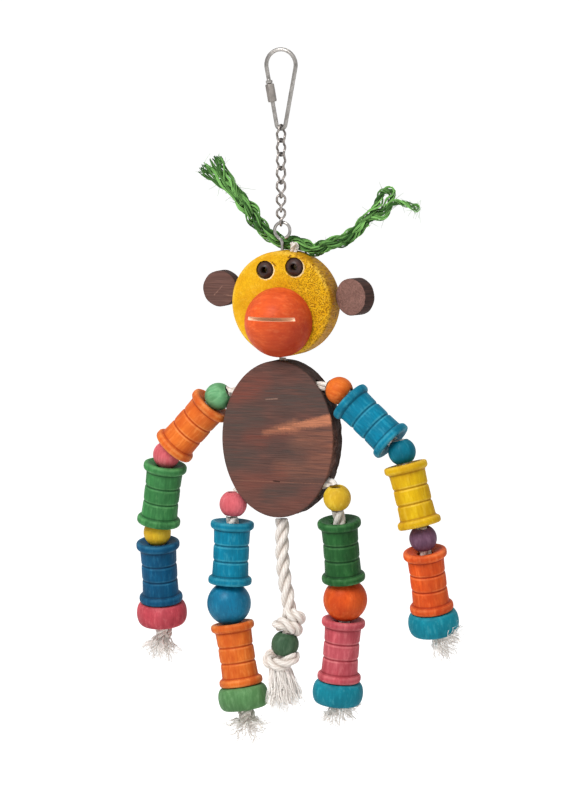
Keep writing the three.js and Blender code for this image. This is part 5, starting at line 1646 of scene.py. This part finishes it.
for number, side in enumerate(("left", "right")):
    at = limb_places[side]
    half = in_bead(BEAD)
    pitch = 2 * ARM_SEATS[side] + SPOOL_LENGTH
    arm = at["arm"]
    for node, where, top, bottom, beads in (
        ("shoulder_rope", at["shoulder"], half - 2, -half, ()),
        ("upper_rope", arm[0], 1 - BEAD, BEAD - 1 - pitch, ((arm[0][0], BEAD), (arm[1][0], BEAD))),
        ("middle_rope", arm[1], half, BEAD - 1 - pitch, ((arm[2][0], BEAD),)),
        ("hip_rope", at["hip"], half - 2, -half, ()),
    ):
        shell = rope_shell(straight(where, top, bottom), ROPE, beads, seed=number, fluffy=30)
        dress(mesh_of(f"{side}_{node}_strands", shell), cotton, f"{side}_{node}", smooth_angle=60)
    thigh = THIGH_TOPS[side] + SPOOL_LENGTH + KNEE_SEAT
    beads = ((at["hip"][0], BEAD), (at["knee"][0], KNEE))
    shell = rope_shell(straight(at["hip"], 1 - BEAD, KNEE - 1 - thigh), ROPE, beads, seed=9, fluffy=120)
    dress(mesh_of(f"{side}_thigh_rope_strands", shell), cotton, f"{side}_thigh_rope", smooth_angle=60)
    end_rope(f"{side}_lower_rope", arm[2], half, at["hand"], FRAYS[f"{side}_hand"], 11 + number)
    end_rope(f"{side}_shin_rope", at["knee"], in_bead(KNEE), at["foot"], FRAYS[f"{side}_foot"], 21 + number)

# %% Ropes in the torso and the neck
SHOULDER_ROPE = 2.9
HIP_ROPE = 3.3
SPINE_ROPE = 2.3
NECK_CORD = 2.2
shell = Shell()
shoulder_beads = [(limb_places[side]["shoulder"][0], BEAD) for side in ("left", "right")]
shoulder_path = even(np.stack(shoulder_ends), 0.8)
rope_shell(shoulder_path, SHOULDER_ROPE, shoulder_beads, shell, seed=3, fluffy=70)
hip_beads = [(limb_places[side]["hip"][0], BEAD) for side in ("left", "right")]
stub_ends = [middle + (BEAD - 1) * unit(turn - middle) for (middle, _), turn in zip(hip_beads, HIP_TURNS)]
hip_path = smooth_path(
    [
        stub_ends[0],
        HIP_TURNS[0] + 1.5 * hip_run,
        HIP_TURNS[0] + 8 * hip_run,
        HIP_TURNS[1] - 9 * hip_run,
        HIP_TURNS[1] - 1.2 * hip_run - [0, 0, 0.6],
        0.5 * stub_ends[1] + 0.5 * HIP_TURNS[1],
        stub_ends[1],
    ],
    110,
)
rope_shell(hip_path, HIP_ROPE, hip_beads, shell, seed=4, fluffy=90)
spine = even(np.array([[HANG_X, 0, -272.6], [HANG_X, 0, -181.2]]), 0.8)
spine_radius = np.interp(spine[:, 2], [-232, -226], [ROPE, SPINE_ROPE])
rope_shell(spine, spine_radius, (), shell, seed=5, lay=22)
dress(mesh_of("torso_rope_strands", shell), cotton, "torso_ropes", smooth_angle=60)

neck_path = even(np.stack([NECK_PIVOT + 2.6 * neck_up, NECK_KNOT - 1.2 * neck_up]), 0.7)
shell = rope_shell(neck_path, NECK_CORD, (), seed=6, lay=20)
lump_shell(shell, place(NECK_KNOT, neck_up), (2.9, 2.9, 2.5), 1.05, 8, columns=8)
dress(mesh_of("neck_cord_strands", shell), cotton, "neck_cord", smooth_angle=60)
print("limb ropes done")

# %% [markdown]
# ## Tail
# The tail is a free rope that hangs from a hole under the torso and holds one bead between two knots, and
# below the lower knot it is picked apart into a tassel. The straight rope is drawn along the tail's route
# at its real length, and the knots and the tassel are pieces on it. The route repeats the CAD model's points.

# %% Tail
TAIL_PIVOT = np.array([HANG_X, 0, -277.12])
TAIL_LENGTH = 61.5
TAIL_RADIUS = 4.2
TAIL_CORE = 3.4
TAIL_KNOT_ROPE = 3.9
TAIL_ROUTE = np.array([(0, 0), (-0.003, -0.293), (0.018, -0.553), (0.067, -0.829), (0.067, -1.0)])
TAIL_LOWER_KNOT = np.array([-0.003, -1.371])
UPPER_KNOT = [
    (0, 0, 8),
    (2.5, -3, 5.6),
    (6, -2.4, 3.6),
    (6, 2, 2.2),
    (1, 4.4, 0),
    (-5, 2.8, -1.6),
    (-6, -1.6, -1.8),
    (-1.6, -4.4, -0.4),
    (4, -3.2, -2.8),
    (4, 1.6, -4.8),
    (0, 1.4, -6.4),
    (0, 0, -9),
]
LOWER_KNOT = [
    (0, 0, 6),
    (-4, 2.6, 3.6),
    (-7.8, 0.6, 1.6),
    (-6.6, -3.4, -1),
    (-1.6, -4.6, -2.4),
    (4, -4, -1.2),
    (7.2, -1.4, 1.6),
    (6, 3, 1.4),
    (0.6, 4, -1.6),
    (-3.4, 1.6, -3.4),
    (-1.4, 0, -6),
]


def on_tail(shares):
    """Points of the tail from their shares of its length across and down."""
    shares = np.asarray(shares, dtype=float) * TAIL_LENGTH
    return TAIL_PIVOT + np.stack([shares[..., 0], 0 * shares[..., 0], shares[..., 1]], axis=-1)


tail_path = smooth_path(on_tail(TAIL_ROUTE), 72)
tail_shell = rope_shell(tail_path, TAIL_RADIUS, (), seed=31, fluffy=220, lay=29)
tail = dress(mesh_of("tail_strands", tail_shell), cotton, "tail_rope", smooth_angle=60)

upper_knot = on_tail(TAIL_ROUTE[-1])
lower_knot = on_tail(TAIL_LOWER_KNOT)
bead_middle = tail_bead_place[0]
shell = Shell()
core = even(np.stack([upper_knot, lower_knot]), 0.7)
rope_shell(core, TAIL_CORE, (), shell, seed=33)
for middle, route, seed in ((upper_knot, UPPER_KNOT, 34), (lower_knot, LOWER_KNOT, 35)):
    knot = smooth_path(middle + route, 120)
    rope_shell(knot, TAIL_KNOT_ROPE, (), shell, seed=seed, fluffy=80, lay=22)
for points in shell.points[1:]:
    points[:] = clear_of(points, bead_middle, BEAD + 0.4)
knots = dress(mesh_of("tail_knots", shell), cotton, "tail_rope", smooth_angle=60)

rng = np.random.default_rng(41)
shell = Shell()
tassel_top = lower_knot + [-1.8, 0, -2.5]
for grid, own, shade_and_wear in brush(rng, tassel_top, (0.19, 0, -1), 14, 30, 5.6, (84, 130, 90), 0.6):
    shell.add(grid, own, shade_and_wear)
tassel = dress(mesh_of("tail_tassel", shell), loose_cotton, "tail_rope", smooth_angle=60)
print("tail length", round(float(length_along(tail_path)[-1]), 1), "mm")

# %% [markdown]
# ## Hair
# The hair is one length of green sisal rope laid over the head and held by its middle. Sisal is a stiff,
# shiny leaf fibre, so its three plies stay loose, gaps show between them, and the cut ends open like a
# brush. Each ply is a thin core with many separate fibres wound on it. The plies part at the left into two
# tufts and at the right into a loop and one curled end.

# %% Hair
HAIR_ROUTE = [
    (-30, 0, 31),
    (-23, 0, 24),
    (-18.3, 2, 15.6),
    (-11.5, 4.6, 8.4),
    (-3, 5.8, 4.2),
    (6, 6.6, 3.9),
    (16.4, 4.2, 0.9),
    (25.8, 1, 3.9),
    (35.9, 0, 6.9),
    (42.8, 0, 11.3),
    (50.4, 0, 18.6),
]
LEFT_TUFTS = [
    [(-26, 0, 27), (-32, -0.6, 33.2), (-38, -0.8, 38), (-45, -0.8, 43), (-53.2, -1, 48.1)],
    [(-26, 0, 27), (-31, 0.6, 33.6), (-35.6, 0.6, 39), (-41, 0.9, 46.5), (-45.7, 1, 54.8)],
]
RIGHT_LOOP = [
    (48, -0.8, 16.6),
    (53, -0.8, 22.2),
    (57.6, -0.8, 28.4),
    (60, -0.8, 34.6),
    (63.2, -0.4, 36.8),
    (66.6, 0.4, 35.6),
    (64.6, 0.9, 29.6),
    (60.4, 1, 25),
    (53.8, 0.8, 21.6),
    (49.5, 0.8, 18),
]
RIGHT_CURL = [
    (48, 0, 16.4),
    (51.4, 0, 18.9),
    (56, -0.6, 20.3),
    (62.3, -1, 21.2),
    (65.4, -1, 27.4),
    (69.4, -1, 29.8),
    (73.8, -1, 29.4),
    (80.2, -1, 27.2),
]
CURL_END = [(79.4, -1, 28.6), (82.0, -1, 28.3), (83.0, -0.4, 26.4), (81.4, 0.2, 25.2), (79.8, 0, 26.4)]
HAIR_PLY = 1.95
HAIR_WIND = 2.15
HAIR_LAY = 31
HAIR_SIDE = (0.1, 1, 0.05)

sisal = fibre_finish("sisal", (142, 204, 112), (10, 52, 14), 2.0, 0.12, 0.8, 0.00006, 0.05)
hair_origin = np.array([HEAD[0], 0, HEAD_TOP])


def sample(values, rows):
    """The values of a path at fractional rows. Past the end the last step is carried on."""
    below = np.clip(np.floor(rows).astype(int), 0, len(values) - 2)
    share = (rows - below)[..., None]
    return (1 - share) * values[below] + share * values[below + 1]


def add_ply(shell, rng, path, radius, count, bundles=6, flare=0.0, twist=26.0, core=0.45, ragged=0.0):
    """A core tube and many fibres round it, in bundles that share a place, a height and a tone. A fibre is
    path + r (cos w N + sin w B), w grows slowly along it, and towards a cut end r grows by `flare` times
    the cube of its share. `ragged` is how much shorter the shortest fibre is, as a share of the whole."""
    normal, across = side_axes(path, HAIR_SIDE)
    along = length_along(path)
    share = along / along[-1]
    body = radius * core * np.clip(np.minimum(1, 1.1 - share if flare else 1), 0.15, 1) ** 0.5
    grid, own = tube(path, body, 10, HAIR_SIDE)
    # The core gets a value that paints it nearly black: painted shade that shows in the gaps between the
    # fibres.
    shell.add(grid, own, 0.04)
    bundle = rng.integers(0, bundles, (count, 1))
    round_at = (np.arange(bundles) + rng.uniform(0, 0.5, bundles)) * 2 * np.pi / bundles
    height = rng.uniform(0.62, 1.15, bundles)
    tone = np.linspace(0.03, 0.5, bundles)[rng.permutation(bundles)]
    period = rng.uniform(12, 30, bundles)
    spring = rng.uniform(0.1, 1, bundles)
    rows = np.linspace(0, len(path) - 1, len(path)) * (1 - ragged * rng.uniform(0, 1, (count, 1)))
    run = along[-1] * rows / (len(path) - 1)
    wobble = np.sin(2 * np.pi * run / period[bundle] + round_at[bundle])
    wind = round_at[bundle] + rng.normal(0, 0.13, (count, 1)) + 2 * np.pi * run / twist + 0.3 * wobble
    size = radius * (height[bundle] + rng.normal(0, 0.08, (count, 1)) + 0.12 * wobble)
    size = size + flare * (run / along[-1]) ** 3 * spring[bundle]
    offset = np.cos(wind)[..., None] * sample(normal, rows) + np.sin(wind)[..., None] * sample(across, rows)
    paths = sample(path, rows) + size[..., None] * offset
    grid, own = tube(paths, rng.uniform(0.18, 0.38, (count, 1)), 3, HAIR_SIDE)
    shade = tone[bundle] + rng.normal(0, 0.07, (count, 1)) - 0.25 * (flare > 0) * (share > 0.95)
    shell.add(grid, own, np.clip(shade, 0.02, 0.5)[..., None])


def strays(shell, rng, path, count, reach, thickness=0.11):
    """Single fibres that have sprung out of the rope, forwards or back along it, and curl away."""
    normal, across = side_axes(path, HAIR_SIDE)
    tangent = np.cross(normal, across)
    pick = rng.integers(2, len(path) - 2, count)
    angle = rng.uniform(0, 2 * np.pi, (count, 1))
    out = np.cos(angle) * normal[pick] + np.sin(angle) * across[pick]
    length = reach * rng.uniform(0.3, 1.0, (count, 1))
    along = rng.choice([-1, 1], (count, 1)) * tangent[pick]
    throw = length * (0.5 * out + along * rng.uniform(0.4, 1, (count, 1)))
    bend = length * (0.3 * out + rng.normal(0, 0.55, (count, 3)))
    grid, own = fibres(path[pick] + 1.6 * out, throw, bend, thickness, 10)
    shell.add(grid, own, rng.uniform(0.1, 0.4, (count, 1, 1)))


rng = np.random.default_rng(71)
shell = Shell()
hair_path = smooth_path(hair_origin + HAIR_ROUTE, 90)
normal, across = side_axes(hair_path, HAIR_SIDE)
along = length_along(hair_path)
loosen = 1 + 0.35 * np.exp(-(((along - 12) / 9) ** 2)) - 0.25 * np.exp(-(((along - along[-1]) / 14) ** 2))
for number in range(3):
    wind = 2 * np.pi * (along / HAIR_LAY + number / 3) + 0.9
    offset = np.cos(wind)[:, None] * normal + np.sin(wind)[:, None] * across
    add_ply(shell, rng, hair_path + (HAIR_WIND * loosen)[:, None] * offset, HAIR_PLY, 50, twist=-24.0)
strays(shell, rng, hair_path, 60, 4)
for route in LEFT_TUFTS:
    tuft = smooth_path(hair_origin + route, 36)
    add_ply(shell, rng, tuft, 2.8, 92, 10, 2.2, twist=60.0, core=0.4, ragged=0.2)
    strays(shell, rng, tuft, 60, 6, 0.14)
for route, size, count in ((RIGHT_LOOP, 2.1, 52), (RIGHT_CURL, 1.5, 36), (CURL_END, 0.8, 20)):
    ply = smooth_path(hair_origin + route, 44)
    add_ply(shell, rng, ply, size, count, 6, twist=22.0)
    strays(shell, rng, ply, 26, 5, 0.13)
dress(mesh_of("hair_plies", shell), sisal, "hair_rope", smooth_angle=60)
print("hair done")

# %% [markdown]
# ## Floor, light and world
# The toy hangs in front of plain white. A wide white floor a little below the feet, a large soft lamp from
# the upper left, a weaker one from the right, and an even pale world give the photograph's flat studio
# light. The camera, mirrors and glass see the world as plain white, which costs no light on the object.

# %% Floor
FLOOR_DROP = 60
FLOOR_REACH = 40
FLOOR_GLOW = 0.62


def seen_by_eye(tree):
    """1 for what the camera sees, also in a mirror or through glass, and 0 for rays that light the toy."""
    path = put(tree, "ShaderNodeLightPath")
    seen = sum_of(tree, path.outputs["Is Camera Ray"], path.outputs["Is Transmission Ray"], "MAXIMUM")
    return sum_of(tree, seen, path.outputs["Is Glossy Ray"], "MAXIMUM")


floor_mesh = bpy.data.meshes.new("floor")
corners = np.array([[-1, -1, 0], [1, -1, 0], [1, 1, 0], [-1, 1, 0]], dtype=float) * FLOOR_REACH
corners[:, 2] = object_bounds()[0][2] - FLOOR_DROP * MM
floor_mesh.from_pydata(corners, [], [(0, 1, 2, 3)])
floor = bpy.data.objects.new("floor", floor_mesh)
bpy.context.collection.objects.link(floor)

floor_material, tree, shader = new_material("floor_white")
speck = noise(tree, put(tree, "ShaderNodeTexCoord").outputs["Object"], (14, 14, 14), 2.0)
shade = put(tree, "ShaderNodeValToRGB", {"Fac": speck})
shade.color_ramp.elements[0].color = (0.93, 0.93, 0.93, 1)
shade.color_ramp.elements[1].color = (0.97, 0.97, 0.97, 1)
tree.links.new(shade.outputs[0], shader.inputs["Base Color"])
shader.inputs["Roughness"].default_value = 0.9
shader.inputs["Emission Strength"].default_value = FLOOR_GLOW
seen = seen_by_eye(tree)
glow = put(tree, "ShaderNodeCombineColor", {0: seen, 1: seen, 2: seen})
tree.links.new(glow.outputs[0], shader.inputs["Emission Color"])
clear = put(tree, "ShaderNodeBsdfTransparent")
below = put(tree, "ShaderNodeNewGeometry").outputs["Backfacing"]
either = put(tree, "ShaderNodeMixShader", {0: below, 1: shader.outputs[0], 2: clear.outputs[0]})
output = next(n for n in tree.nodes if n.bl_idname == "ShaderNodeOutputMaterial")
tree.links.new(either.outputs[0], output.inputs[0])
floor_mesh.materials.append(floor_material)
print("floor", FLOOR_DROP, "mm below the feet")

# %% World
WORLD_LIGHT = 0.42
world = bpy.data.worlds.new("studio")
world.use_nodes = True
tree = world.node_tree
tree.nodes.clear()
strength = ramp(tree, seen_by_eye(tree), 0, 1, WORLD_LIGHT, 1.0)
sky = put(tree, "ShaderNodeBackground", {"Color": (1, 1, 1, 1), "Strength": strength})
put(tree, "ShaderNodeOutputWorld", {"Surface": sky.outputs[0]})
bpy.context.scene.world = world

# %% Lamps
TOY_MIDDLE = np.array([0, 0, -0.22])


def lamp(name, azimuth, elevation, distance, size, power):
    """A square area lamp that looks at the middle of the toy from an azimuth and an elevation."""
    data = bpy.data.lights.new(name, "AREA")
    data.size = size
    data.energy = power
    piece = bpy.data.objects.new(name, data)
    around = AZIMUTH + math.radians(azimuth)
    height = math.radians(elevation)
    piece.location = TOY_MIDDLE + distance * direction(around, height)
    piece.rotation_euler = (math.pi / 2 - height, 0, around)
    bpy.context.collection.objects.link(piece)


lamp("key", azimuth=-34, elevation=40, distance=1.6, size=0.7, power=22)
lamp("fill", azimuth=50, elevation=10, distance=2.0, size=1.2, power=3)
lamp("top", azimuth=10, elevation=80, distance=1.6, size=0.8, power=3)
bpy.context.scene.view_settings.view_transform = "Standard"
